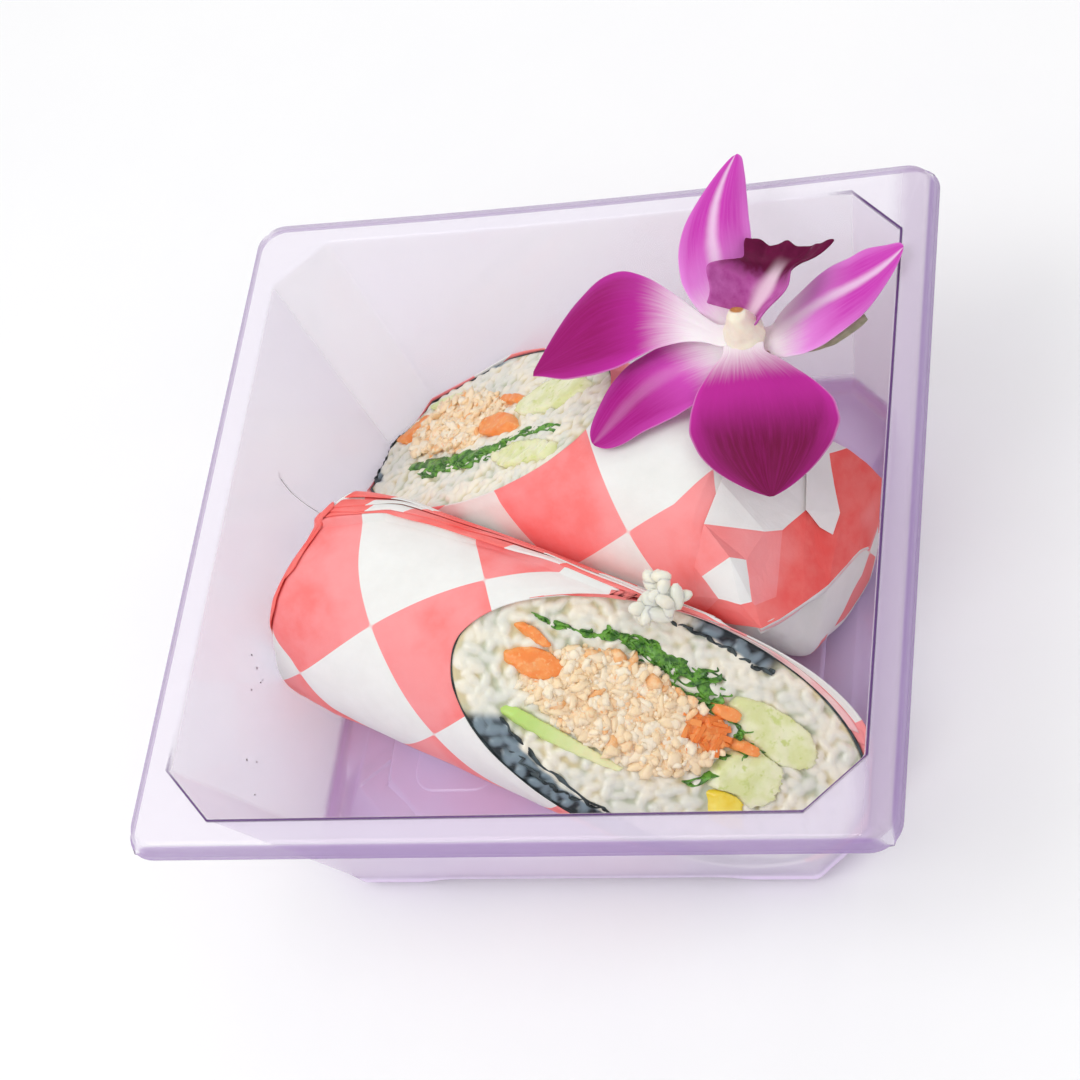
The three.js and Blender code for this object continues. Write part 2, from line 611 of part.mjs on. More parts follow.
// A thin wavy solid: both faces are cut into triangles alike
function wavySheet(place, lengthwise, crosswise, thickness) {
  const step = 1e-3;
  const rows = [1, -1].map((side) => {
    const spots = [];
    for (let i = 0; i <= lengthwise; i += 1) {
      for (let k = 0; k <= crosswise; k += 1) {
        const [u, v] = [i / lengthwise, (2 * k) / crosswise - 1];
        const at = place(u, v);
        const alongU = place(u + step, v).sub(place(u - step, v));
        const alongV = place(u, v + step).sub(place(u, v - step));
        const normal = alongU.cross(alongV).normalize();
        spots.push(at.addScaledVector(normal, (side * thickness) / 2));
      }
    }
    return spots;
  });
  const wide = crosswise + 1;
  const far = rows[0].length;
  const faces = [];
  for (let i = 0; i < lengthwise; i += 1) {
    for (let k = 0; k < crosswise; k += 1) {
      const a = i * wide + k;
      faces.push(a, a + wide, a + wide + 1, a, a + wide + 1, a + 1);
      faces.push(far + a, far + a + wide + 1, far + a + wide, far + a, far + a + 1, far + a + wide + 1);
    }
  }
  const edge = [];
  for (let k = 0; k < crosswise; k += 1) edge.push(k);
  for (let i = 0; i < lengthwise; i += 1) edge.push(i * wide + crosswise);
  for (let k = crosswise; k > 0; k -= 1) edge.push(lengthwise * wide + k);
  for (let i = lengthwise; i > 0; i -= 1) edge.push(i * wide);
  edge.forEach((a, n) => {
    const b = edge[(n + 1) % edge.length];
    faces.push(a, b, far + b, a, far + b, far + a);
  });
  const geometry = new THREE.BufferGeometry().setFromPoints([...rows[0], ...rows[1]]);
  geometry.setIndex(faces);
  const solid = facingOut(geometry);
  solid.computeVertexNormals();
  return solid;
}

// A petal from its direction, length and width. `bow` bends its middle line sideways, `hook` its tip,
// `arch` raises its middle, `cup` drops its edges, `belly` is where along it the widest place lies,
// `base` is half its width at the heart and `low` its height there
function petal({ name, azimuth, rise, length, width, bow, hook, arch = 2, cup = -2, belly,
  square, start = 6.6, base, low }) {
  const along = new THREE.Vector3(Math.cos(radians(azimuth)), Math.sin(radians(azimuth)), 0);
  const side = new THREE.Vector3(-along.y, along.x, 0);
  const bulge = Math.log(0.5) / Math.log(belly);
  const place = (u, v) => {
    const t = Math.min(1, Math.max(0, u));
    const spread = Math.sin(Math.PI * t ** bulge) ** square;
    const reach = base * (1 - t) + 0.5 + (width / 2) * spread;
    const wave = 0.5 * spread * Math.sin(5 * u + 4 * v);
    const height = rise * u + arch * Math.sin(Math.PI * t) + cup * v * v * spread + wave;
    return new THREE.Vector3(0, 0, low + height)
      .addScaledVector(along, start + (length - start) * u)
      .addScaledVector(side, reach * v + bow * Math.sin(Math.PI * t) + hook * u ** 3);
  };
  const mesh = named(name, wavySheet(place, 9, 5, petalThickness), looks.petal);
  mesh.position.copy(flowerCentre);
  return mesh;
}

// The lip: a trough with two high side lobes, which narrows and opens into a ruffled flap
function lip() {
  const azimuth = radians(62);
  const along = new THREE.Vector3(Math.cos(azimuth), Math.sin(azimuth), 0);
  const side = new THREE.Vector3(-along.y, along.x, 0);
  const bump = (u, middle, reach) => Math.exp(-(((u - middle) / reach) ** 2));
  const place = (u, v) => {
    const flap = smoothStep(0.62, 1, u);
    const across = 8 + 4 * bump(u, 0.25, 0.18) + 3.4 * flap;
    const wall = 9 + 3 * bump(u, 0.25, 0.2) - 7 * smoothStep(0.42, 0.85, u);
    const onward = 7.6 + 19 * u - 6 * Math.abs(v) ** 1.5 * (1 - u) - 4 * u * v;
    const ruffle = 1.1 * flap * Math.sin(7 * v + 1);
    return new THREE.Vector3(0, 0, 3.6 + 3 * u + wall * Math.abs(v) ** 1.8 + ruffle)
      .addScaledVector(along, onward)
      .addScaledVector(side, across * v);
  };
  const mesh = named('orchid_lip', wavySheet(place, 8, 8, petalThickness), looks.lip);
  mesh.position.copy(flowerCentre);
  return mesh;
}

function column() {
  const profile = [[0, -2.6], [3.6, -2.4], [5.6, -0.8], [5.8, 1.4], [4.8, 4], [3.6, 7.2], [2.6, 9.4], [0, 10.2]]
    .map(([r, z]) => new THREE.Vector2(r, z));
  const body = new THREE.LatheGeometry(profile, 12).rotateX(Math.PI / 2);
  const mesh = named('orchid_column', facingOut(bare(body)), looks.column);
  mesh.geometry.computeVertexNormals();
  mesh.position.copy(flowerCentre);
  return mesh;
}

function pedicel() {
  const path = new THREE.CatmullRomCurve3([
    new THREE.Vector3(2, -0.4, -5), new THREE.Vector3(12, -1.2, -6), new THREE.Vector3(22.5, 0.4, -5.4),
    new THREE.Vector3(31, 6, -3.8),
  ]);
  const section = new THREE.Shape(Array.from({ length: 8 }, (_, i) => {
    const a = (i / 8) * 2 * Math.PI;
    return new THREE.Vector2(1.7 * Math.cos(a), 1.7 * Math.sin(a));
  }));
  const stalk = new THREE.ExtrudeGeometry(section, { steps: 6, extrudePath: path, bevelEnabled: false });
  const mesh = named('orchid_stem', facingOut(bare(stalk)), looks.stem);
  mesh.geometry.computeVertexNormals();
  mesh.position.copy(flowerCentre);
  return mesh;
}

function orchid() {
  return [
    petal({ name: 'orchid_sepal_top', azimuth: 121, rise: 20.4, length: 41, width: 18.2, bow: -1.7, hook: -22,
      belly: 0.57, square: 0.62, base: 3, low: -2.4 }),
    petal({ name: 'orchid_petal_left', azimuth: 186, rise: 1, length: 58, width: 29.4, bow: -11.6, hook: 3.2,
      belly: 0.61, square: 1.1, base: 3, low: 1.2 }),
    petal({ name: 'orchid_sepal_low', azimuth: 221.6, rise: -3, length: 48.8, width: 18.8, bow: -6.3,
      hook: -5.7, belly: 0.45, square: 0.5, base: 3.3, low: -2 }),
    petal({ name: 'orchid_petal_bottom', azimuth: 273, rise: -4, length: 49.3, width: 34.2, bow: 4.7, hook: 7.8,
      cup: -1.5, belly: 0.54, square: 0.94, base: 5, low: 1 }),
    petal({ name: 'orchid_sepal_right', azimuth: -2.4, rise: 7, length: 41.2, width: 20.6, bow: 6.1, hook: 22,
      belly: 0.51, square: 0.55, base: 3.4, low: -1.8 }),
    lip(),
    column(),
    pedicel(),
  ];
}

const model = new THREE.Group();
model.add(tray(), frontHalf, backHalf, strayRice(), ...orchid());

export default model;
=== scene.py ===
import json
from math import atan2, cos, exp, hypot, log, pi, radians, sin, sqrt
from random import Random

import bmesh
import bpy
from mathutils import Matrix, Vector, noise
from mathutils.bvhtree import BVHTree


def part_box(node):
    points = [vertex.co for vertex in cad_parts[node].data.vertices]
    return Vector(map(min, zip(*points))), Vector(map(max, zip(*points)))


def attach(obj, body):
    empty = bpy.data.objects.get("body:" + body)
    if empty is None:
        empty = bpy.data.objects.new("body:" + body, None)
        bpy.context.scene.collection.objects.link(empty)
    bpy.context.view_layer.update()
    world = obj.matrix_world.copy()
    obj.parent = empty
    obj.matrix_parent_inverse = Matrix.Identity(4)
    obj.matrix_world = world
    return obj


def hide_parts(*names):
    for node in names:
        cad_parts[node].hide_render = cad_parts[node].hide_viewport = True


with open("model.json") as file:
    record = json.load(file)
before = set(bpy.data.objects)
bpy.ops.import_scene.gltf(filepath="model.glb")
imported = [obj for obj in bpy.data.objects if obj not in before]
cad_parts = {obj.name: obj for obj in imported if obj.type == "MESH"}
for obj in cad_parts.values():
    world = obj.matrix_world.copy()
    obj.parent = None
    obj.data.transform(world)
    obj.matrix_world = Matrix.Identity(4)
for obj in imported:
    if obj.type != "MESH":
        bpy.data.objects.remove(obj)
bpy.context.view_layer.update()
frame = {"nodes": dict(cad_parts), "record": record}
mm = 0.001
up = Vector((0, 0, 1))

tray = dict(
    width=200, height=75, sheet=0.55,
    openHalf=91, openChamfer=14, openEase=3,
    floorHalf=77.3, floorChamfer=13, wallFootZ=4.5,
    brimZ=70.6, rimRound=7,
    stepHalf=70.5, stepChamfer=21, stepZ=3.8,
    platformHalf=61.5, platformChamfer=14, platformZ=4.3,
    archZ=2.3, archEnd=38, footStart=47, backSag=1.6,
)
pads = dict(width=23.4, depth=30, round=6, height=0.35, x=41.1, y=35.4)
roll = dict(middle=(-4.2, 0.3, 35.9), heading=-24.6, spacing=62.2, pastMiddle=49.7, steepness=58.4,
            paperRadius=31, noriRadius=30.25, riceRadius=29.8, checkSide=33.5)
halves = dict(
    front=dict(side=-1, turn=0, lean=19, length=112, slope=3, seam=47, lift=2, rise=8.7, pleats=5,
               pleatDepth=2.4, seed=3),
    back=dict(side=1, turn=180, lean=4.2, length=117, slope=17, seam=128, lift=1.2, rise=0, pleats=4,
              pleatDepth=4, seed=8),
)


def rgb(red, green, blue):  # 0 to 255, as read off a screen, to the renderer's own scale
    def linear(value):
        value /= 255
        return value / 12.92 if value <= 0.04045 else ((value + 0.055) / 1.055) ** 2.4
    return linear(red), linear(green), linear(blue), 1


def smoothStep(low, high, value):
    t = min(1, max(0, (value - low) / (high - low)))
    return t * t * (3 - 2 * t)


def ripple(point, size, seed=0):  # soft noise, about -1 to 1, with features of that size
    return noise.noise(point / size + Vector((seed * 7.3, seed * 3.1, seed * 5.7)))


def halfMatrix(half):  # from a half's own millimetres (+x to its cut, +y to the other half) to the scene
    spec = halves[half]
    heading = Matrix.Rotation(radians(roll["heading"]), 4, "Z")
    along = -spec["side"] * roll["pastMiddle"]
    place = Vector(roll["middle"]) + heading @ Vector((along, spec["side"] * roll["spacing"] / 2, 0))
    turn = Matrix.Rotation(radians(roll["heading"] + spec["turn"]), 4, "Z")
    return Matrix.Translation(place * mm) @ turn @ Matrix.Scale(mm, 4)


def cutNormal(half, extraLean=0):
    steep, lean = radians(roll["steepness"]), radians(halves[half]["lean"] + extraLean)
    return Vector((cos(steep), -sin(steep) * sin(lean), sin(steep) * cos(lean)))


def cutAt(half, y, z, extraLean=0):  # x of the cut above a point across the roll
    normal = cutNormal(half, extraLean)
    return -(normal.y * y + normal.z * z) / normal.x


def roomPlanes():
    widening = (tray["openHalf"] - tray["floorHalf"]) / (tray["height"] - tray["wallFootZ"])
    floorZ = tray["platformZ"] + pads["height"] - 0.15
    planes = [(-up, -floorZ)]
    for side in range(8):
        angle = side * pi / 4
        straight = side % 2 == 0
        spread = widening if straight else (2 * widening - 1 / 80) / sqrt(2)
        reach = tray["floorHalf"] if straight else (2 * tray["floorHalf"] - tray["floorChamfer"]) / sqrt(2)
        normal = Vector((cos(angle), sin(angle), -spread))
        planes.append((normal.normalized(), (reach - spread * floorZ) / normal.length))
    return planes


def linkLoop(bm, verts):
    return [bm.edges.new((a, b)) for a, b in zip(verts, verts[1:] + verts[:1])]


def pressedIn(point, clearance):  # keeps a point inside the tray, `clearance` off its sheet
    place = point.copy()
    for _ in range(2):
        for normal, reach in room:
            over = normal.dot(place) - (reach - clearance)
            if over > 0:
                place -= normal * over
    return place


room = roomPlanes()


def toPiece(bm, name, material, slot, nodes=(), smooth=True, recalc=False):
    if recalc:
        bmesh.ops.recalc_face_normals(bm, faces=bm.faces)
    mesh = bpy.data.meshes.new(name)
    bm.to_mesh(mesh)
    bm.free()
    mesh.materials.append(material)
    mesh.polygons.foreach_set("use_smooth", [smooth] * len(mesh.polygons))
    piece = bpy.data.objects.new(name, mesh)
    bpy.context.scene.collection.objects.link(piece)
    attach(piece, "root")
    if nodes:
        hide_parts(*nodes)
    return piece


def thicken(piece, thickness, offset=-1):
    wall = piece.modifiers.new("wall", "SOLIDIFY")
    wall.thickness = thickness * mm
    wall.offset = offset


def newMaterial(name, roughness=0.5, **sockets):
    material = bpy.data.materials.new(name)
    material.use_nodes = True
    tree = material.node_tree
    shader = tree.nodes["Principled BSDF"]
    shader.inputs["Roughness"].default_value = roughness
    for socket, value in sockets.items():
        shader.inputs[socket.replace("_", " ")].default_value = value
    return material, tree, shader


def addNode(tree, kind, links=None, **settings):
    node = tree.nodes.new(kind)
    for key, value in settings.items():
        setattr(node, key, value)
    for socket, value in (links or {}).items():
        if isinstance(value, bpy.types.NodeSocket):
            tree.links.new(value, node.inputs[socket])
        else:
            node.inputs[socket].default_value = value
    return node


def objectCoords(tree):
    return addNode(tree, "ShaderNodeTexCoord").outputs["Object"]


def uvCoords(tree):
    return addNode(tree, "ShaderNodeUVMap", uv_map="pattern").outputs["UV"]


def noiseValue(tree, coords, size, detail=3, roughness=0.55, distortion=0):  # size of a feature in mm
    links = {"Vector": coords, "Scale": 1 / (size * mm), "Detail": detail, "Roughness": roughness,
             "Distortion": distortion}
    return addNode(tree, "ShaderNodeTexNoise", links).outputs["Fac"]


def calc(tree, operation, a, b=0.0):
    return addNode(tree, "ShaderNodeMath", {0: a, 1: b}, operation=operation).outputs[0]


def plus(tree, a, b):
    return calc(tree, "ADD", a, b)


def times(tree, a, b):
    return calc(tree, "MULTIPLY", a, b)


def splitUp(tree, vector):
    return addNode(tree, "ShaderNodeSeparateXYZ", {0: vector}).outputs


def between(tree, value, low, high, toLow=0.0, toHigh=1.0):
    links = {"Value": value, "From Min": low, "From Max": high, "To Min": toLow, "To Max": toHigh}
    return addNode(tree, "ShaderNodeMapRange", links, interpolation_type="SMOOTHSTEP").outputs[0]


def mixColour(tree, amount, first, second):
    node = addNode(tree, "ShaderNodeMix", data_type="RGBA")
    sockets = {"Factor_Float": amount, "A_Color": first, "B_Color": second}
    for identifier, value in sockets.items():
        socket = next(s for s in node.inputs if s.identifier == identifier)
        if isinstance(value, bpy.types.NodeSocket):
            tree.links.new(value, socket)
        else:
            socket.default_value = value
    return next(s for s in node.outputs if s.identifier == "Result_Color")


def addBump(tree, shader, height, distance, strength=1.0):
    links = {"Height": height, "Distance": distance * mm, "Strength": strength}
    bump = addNode(tree, "ShaderNodeBump", links)
    tree.links.new(bump.outputs["Normal"], shader.inputs["Normal"])


def addGlow(shader, weight, scale, radius=None):  # light that goes in under the surface, `scale` mm deep
    shader.inputs["Subsurface Weight"].default_value = weight
    shader.inputs["Subsurface Scale"].default_value = scale * mm
    if radius:
        shader.inputs["Subsurface Radius"].default_value = radius


def foodMaterial(name, colours, size, roughness, bumpSize, bumpDepth, glow=0.0, glowColour=(1, 0.8, 0.5)):
    # two colours that drift into each other over `size`, and a moist, finely uneven surface
    material, tree, shader = newMaterial(name, roughness, Specular_IOR_Level=0.5)
    coords = objectCoords(tree)
    drift = between(tree, noiseValue(tree, coords, size), 0.36, 0.64)
    colour = mixColour(tree, drift, colours[0], colours[1])
    if len(colours) > 2:
        spots = between(tree, noiseValue(tree, coords, size * 0.37, 2), 0.55, 0.72)
        colour = mixColour(tree, spots, colour, colours[2])
    tree.links.new(colour, shader.inputs["Base Color"])
    if glow:
        addGlow(shader, glow, 2.2, glowColour)
    addBump(tree, shader, noiseValue(tree, coords, bumpSize, 4), bumpDepth)
    return material


view = dict(yaw=33.12, pitch=53.92, roll=-30.81, distance=657.6, target=(1.93, -13.24, 75), lens=84.97)
studio = dict(world=0.66, floorSize=6.0, floorDrop=0.0003,
              lights=[
                  dict(name="keyLight", place=(-0.42, -0.3, 0.95), size=0.6, power=4.0),
                  dict(name="fillLight", place=(0.7, -0.6, 0.7), size=1.1, power=1.9),
                  dict(name="rimLight", place=(0.1, 0.95, 0.6), size=0.7, power=2.0),
              ])


def makeCamera():
    yaw, pitch, tilt = (radians(view[key]) for key in ("yaw", "pitch", "roll"))
    back = Vector((sin(yaw) * cos(pitch), -cos(yaw) * cos(pitch), sin(pitch)))
    right = (-back).cross(up).normalized()
    top = right.cross(-back)
    sideways, upright = right * cos(tilt) + top * sin(tilt), top * cos(tilt) - right * sin(tilt)
    axes = Matrix((sideways, upright, back)).transposed()
    data = bpy.data.cameras.new("camera")
    data.lens = view["lens"]
    camera = bpy.data.objects.new("camera", data)
    place = (Vector(view["target"]) + back * view["distance"]) * mm
    camera.matrix_world = Matrix.Translation(place) @ axes.to_4x4()
    bpy.context.scene.collection.objects.link(camera)
    bpy.context.scene.camera = camera


def makeStudio():
    world = bpy.data.worlds.new("studio")
    world.use_nodes = True
    world.node_tree.nodes["Background"].inputs["Color"].default_value = (1, 1, 1, 1)
    world.node_tree.nodes["Background"].inputs["Strength"].default_value = studio["world"]
    bpy.context.scene.world = world
    for spec in studio["lights"]:
        data = bpy.data.lights.new(spec["name"], "AREA")
        data.energy, data.size = spec["power"], spec["size"]
        light = bpy.data.objects.new(spec["name"], data)
        light.location = spec["place"]
        light.rotation_euler = (-Vector(spec["place"])).to_track_quat("-Z", "Y").to_euler()
        bpy.context.scene.collection.objects.link(light)
    bm = bmesh.new()
    bmesh.ops.create_grid(bm, x_segments=2, y_segments=2, size=studio["floorSize"] / 2)
    material, tree, shader = newMaterial("floorPaint", 0.8)
    shade = noiseValue(tree, objectCoords(tree), 60, 3)
    colour = mixColour(tree, shade, rgb(250, 250, 250), rgb(246, 246, 248))
    tree.links.new(colour, shader.inputs["Base Color"])
    mesh = bpy.data.meshes.new("floor")
    bm.to_mesh(mesh)
    bm.free()
    mesh.materials.append(material)
    floor = bpy.data.objects.new("floor", mesh)
    floor.location.z = -studio["floorDrop"]
    bpy.context.scene.collection.objects.link(floor)
    bpy.context.scene.view_settings.view_transform = "Standard"
    bpy.context.scene.view_settings.look = "None"


makeCamera()
makeStudio()
print("camera, floor and light are set")


plastic = dict(
    wall=(rgb(228, 216, 242), rgb(240, 233, 248)), base=rgb(240, 218, 255), flange=rgb(234, 224, 242),
    # the right flange's darker mauve and its extra cover are a painted shadow
    flangeRight=rgb(200, 180, 210), lip=rgb(170, 138, 196), edge=rgb(84, 40, 110),
    coverFacing=0.26, coverAslant=0.66, coverRight=0.14, coverLip=0.22, coverBase=0.5, coverEdge=0.9,
)


def plasticMaterial():
    material, tree, shader = newMaterial("tintedPlastic", 0.07, Specular_IOR_Level=0.55, IOR=1.5)
    coords = objectCoords(tree)
    haze = noiseValue(tree, coords, 45, 2)
    x, y, z = splitUp(tree, coords)
    farX, farY = calc(tree, "ABSOLUTE", x), calc(tree, "ABSOLUTE", y)
    corner = plus(tree, plus(tree, farX, farY), -(tray["openHalf"] - tray["openChamfer"]) * mm)
    reach = calc(tree, "MAXIMUM", calc(tree, "MAXIMUM", farX, farY), corner)
    high = between(tree, z, 73.4 * mm, 74.2 * mm)
    # painted reflection: the walls' pale lavender is whitened for the bright surroundings they reflect
    wall = mixColour(tree, haze, *plastic["wall"])
    # painted shade: the base is tinted a more saturated lavender and made more opaque than the walls, for the
    # tray's shadow and layers seen through it
    base = between(tree, z, 9 * mm, 5 * mm)
    colour = mixColour(tree, base, wall, plastic["base"])
    flange = times(tree, between(tree, reach, 91.4 * mm, 92 * mm), high)
    # painted shadow: the right side of the flange is tinted a darker mauve and made more opaque
    rightSide = between(tree, x, 0.086, 0.094)
    flat = mixColour(tree, rightSide, plastic["flange"], plastic["flangeRight"])
    colour = mixColour(tree, flange, colour, flat)
    lip = between(tree, calc(tree, "MAXIMUM", farX, farY), 97.6 * mm, 98.4 * mm)
    colour = mixColour(tree, lip, colour, plastic["lip"])
    # painted shade: the sheet's edge looks dark where it is seen lengthwise, so a dark line is painted along
    # the front and right of the opening
    off = calc(tree, "ABSOLUTE", calc(tree, "SUBTRACT", reach, (tray["openHalf"] + 0.25) * mm))
    line = between(tree, off, 0.55 * mm, 0.25 * mm)
    side = between(tree, calc(tree, "SUBTRACT", x, y), -0.03, -0.005)
    edge = times(tree, times(tree, line, high), side)
    colour = mixColour(tree, edge, colour, plastic["edge"])
    tree.links.new(colour, shader.inputs["Base Color"])
    facing = addNode(tree, "ShaderNodeLayerWeight", {"Blend": 0.35}).outputs["Facing"]
    cover = between(tree, facing, 0.1, 1.0, plastic["coverFacing"], plastic["coverAslant"])
    flangeRight = times(tree, flange, rightSide)
    for place, key in ((flangeRight, "coverRight"), (lip, "coverLip"), (base, "coverBase")):
        cover = plus(tree, cover, times(tree, place, plastic[key]))
    cover = calc(tree, "MAXIMUM", cover, times(tree, edge, plastic["coverEdge"]))
    tree.links.new(cover, shader.inputs["Alpha"])
    addBump(tree, shader, noiseValue(tree, coords, 30, 2), 0.25, 0.35)
    return material


def trayLoop(bm, half, chamfer, ease, z, footZ=None):
    # one level outline of the tray; its corner is a chamfer with rounded ends, or one round when they meet
    footZ = z if footZ is None else footZ
    bend = ease * (sqrt(2) - 1)
    straight = half - chamfer - bend
    stops = (0, 12, 24, 34, tray["archEnd"] - 1, 41, 44, tray["footStart"], 50)
    scale = min(1, 0.98 * straight / stops[-1])
    side = [s * scale for s in stops]
    quarter = [(half, y) for y in [-s for s in side[:0:-1]] + side]
    levels = [z + (footZ - z) * smoothStep(tray["archEnd"], tray["footStart"], abs(y) / scale)
              for _, y in quarter]
    arc = 6
    for k in range(2 * arc):
        angle = (k if k < arc else k - 1) * (pi / 4) / (arc - 1)
        x, y = (half - ease, straight) if k < arc else (straight, half - ease)
        quarter.append((x + ease * cos(angle), y + ease * sin(angle)))
        levels.append(footZ)
    loop = []
    for turn in range(4):
        spin = Matrix.Rotation(turn * pi / 2, 3, "Z")
        for (x, y), level in zip(quarter, levels):
            place = spin @ Vector((x, y, level))
            if level > tray["brimZ"] - 2 and place.y > 60:
                place.z -= tray["backSag"] * max(0, 1 - (place.x / 88) ** 2)
            loop.append(bm.verts.new(place * mm))
    return linkLoop(bm, loop)


def trayLevels():
    half, top, openHalf, ease = tray["width"] / 2, tray["height"], tray["openHalf"], tray["openEase"]
    lowZ, wallZ = tray["archZ"] + 0.9, tray["wallFootZ"]
    step, platform = tray["stepHalf"], tray["platformHalf"]
    rimRound = tray["rimRound"]
    roundCorner = lambda radius: (radius * (2 - sqrt(2)), radius)
    return [
        (platform - 1.2, tray["platformChamfer"], 2, tray["platformZ"], None),
        (platform - 0.6, tray["platformChamfer"], 2, tray["platformZ"], None),
        (platform + 0.3, tray["platformChamfer"], 2, tray["stepZ"], None),
        (platform + 0.9, tray["platformChamfer"], 2, tray["stepZ"], None),
        (step - 1.2, tray["stepChamfer"], 3, tray["stepZ"], None),
        (step - 0.6, tray["stepChamfer"], 3, tray["stepZ"], None),
        (step + 0.3, tray["stepChamfer"], 3, lowZ, lowZ),
        (step + 2.4, 16.5, 3, lowZ, 0.9),
        (tray["floorHalf"] - 1.8, tray["floorChamfer"], 3, lowZ, 0.9),
        (tray["floorHalf"] - 0.8, tray["floorChamfer"], 3, lowZ + 0.5, 1.5),
        (tray["floorHalf"], tray["floorChamfer"], 3, wallZ + 0.6, wallZ - 1.2),
        (tray["floorHalf"] + 1, tray["floorChamfer"], 3, wallZ + 6, wallZ + 6),
        (openHalf - 0.3, tray["openChamfer"], ease, top - 2.2, None),
        (openHalf, tray["openChamfer"], ease, top - 0.7, None),
        (openHalf + 0.15, tray["openChamfer"], ease, top - 0.25, None),
        (openHalf + 0.5, tray["openChamfer"], ease, top, None),
        (openHalf + 0.9, tray["openChamfer"], ease, top, None),
        (half - 3.6, *roundCorner(rimRound - 1.2), top, None),
        (half - 2.6, *roundCorner(rimRound - 0.6), top - 0.15, None),
        (half - 1.8, *roundCorner(rimRound), top - 0.8, None),
        (half - 1.35, *roundCorner(rimRound), top - 1.9, None),
        (half - 1.1, *roundCorner(rimRound), tray["brimZ"] + 0.8, None),
        (half - 0.8, *roundCorner(rimRound), tray["brimZ"] + 0.2, None),
        (half, *roundCorner(rimRound + 0.8), tray["brimZ"], None),
    ]


def roundedPad(bm, x, y, grow, z):
    # a rounded rectangle of edges, for one of the four raised pads
    radius = pads["round"] + grow
    across, deep = pads["width"] / 2 + grow - radius, pads["depth"] / 2 + grow - radius
    corners = [(across, deep), (-across, deep), (-across, -deep), (across, -deep)]
    loop = []
    for turn, (cx, cy) in enumerate(corners):
        for k in range(9):
            angle = (turn + k / 8) * pi / 2
            spot = Vector((x + cx + radius * cos(angle), y + cy + radius * sin(angle), z))
            loop.append(bm.verts.new(spot * mm))
    return linkLoop(bm, loop)


def makeTray():
    bm = bmesh.new()
    loops = [trayLoop(bm, *level) for level in trayLevels()]
    for lower, upper in zip(loops, loops[1:]):
        bmesh.ops.bridge_loops(bm, edges=lower + upper)
    rims = list(loops[0])
    for x in (-pads["x"], pads["x"]):
        for y in (-pads["y"], pads["y"]):
            rings = [roundedPad(bm, x, y, grow, tray["platformZ"] + lift) for grow, lift in
                     ((0.35, 0), (0.1, 0.1), (-0.1, pads["height"] - 0.08), (-0.4, pads["height"]))]
            for outer, inner in zip(rings, rings[1:]):
                bmesh.ops.bridge_loops(bm, edges=outer + inner)
            bmesh.ops.edgeloop_fill(bm, edges=rings[-1])
            rims += rings[0]
    bmesh.ops.triangle_fill(bm, edges=rims, use_beauty=True, use_dissolve=False)
    bmesh.ops.recalc_face_normals(bm, faces=bm.faces)
    middle = min(bm.faces, key=lambda face: face.calc_center_median().xy.length)
    if middle.normal.z < 0:
        bmesh.ops.reverse_faces(bm, faces=bm.faces)
    piece = toPiece(bm, "trayShell", plasticMaterial(), "tinted_plastic", ["tray"])
    thicken(piece, tray["sheet"])
    piece.modifiers.new("evenShade", "WEIGHTED_NORMAL").keep_sharp = True


makeTray()
print("tray is made")


# deep, mid and light are the print's red in shade, in half light and in full light: painted shade and light
def paperMaterial(name, deep, mid, light):
    material, tree, shader = newMaterial(name, 0.7, Specular_IOR_Level=0.35)
    across, onward, _ = splitUp(tree, uvCoords(tree))
    waves = [calc(tree, "SINE", times(tree, socket, pi)) for socket in (across, onward)]
    coords = objectCoords(tree)
    inked = between(tree, times(tree, waves[0], waves[1]), -0.002, 0.003)
    # painted light and shade: soft random patches run the red from its shaded deep tone to mid and up to its
    # lit light tone, and the white from greyer to brighter
    mottle = noiseValue(tree, coords, 9, 5, 0.6)
    broad = noiseValue(tree, coords, 26, 2)
    red = mixColour(tree, between(tree, mottle, 0.3, 0.7), deep, mid)
    red = mixColour(tree, between(tree, broad, 0.42, 0.62, 0.0, 0.65), red, light)
    white = mixColour(tree, mottle, rgb(230, 228, 224), rgb(246, 245, 242))
    tree.links.new(mixColour(tree, inked, white, red), shader.inputs["Base Color"])
    addGlow(shader, 0.12, 1, (1, 0.7, 0.6))
    fibres = noiseValue(tree, coords, 0.5, 4)
    folds = noiseValue(tree, coords, 6, 3, 0.5, 0.6)
    relief = plus(tree, times(tree, fibres, 0.12), folds)
    addBump(tree, shader, relief, 0.5, 0.4)
    return material


def paperBackMaterial():  # the unprinted side, where the red only shows through
    material, tree, shader = newMaterial("paperBack", 0.75, Specular_IOR_Level=0.3)
    coords = objectCoords(tree)
    tint = between(tree, noiseValue(tree, coords, 14, 3), 0.4, 0.6)
    tree.links.new(mixColour(tree, tint, rgb(246, 190, 192), rgb(243, 222, 218)), shader.inputs["Base Color"])
    addBump(tree, shader, noiseValue(tree, coords, 3, 4), 0.3, 0.5)
    return material


def creaseHeight(point, directions, size):  # flat facets that meet in straight creases
    total = 0
    for k, direction in enumerate(directions):
        t = (point.dot(direction) / (size * (1 + 0.23 * k)) + 0.37 * k) % 1
        total += abs(2 * t - 1) - 0.5
    return total


def fromEnd(spec, x, reach):
    return max(0, 1 - (x + spec["length"]) / reach)


# The free edge of the front half: places along the roll, and its degrees round the roll there
seamPath = [(-110, 80), (-100, 70), (-92, 60), (-80, 55.5), (-69, 53), (-58, 48), (-45, 46), (-28, 46),
            (0, 49), (20, 51), (36, 56), (52, 62), (72, 80)]


def seamAngle(half, x):
    if half == "back":
        return halves[half]["seam"]
    x = min(seamPath[-1][0], max(seamPath[0][0], x))
    for (near, first), (far, second) in zip(seamPath, seamPath[1:]):
        if x <= far:
            return first + (second - first) * (x - near) / (far - near)


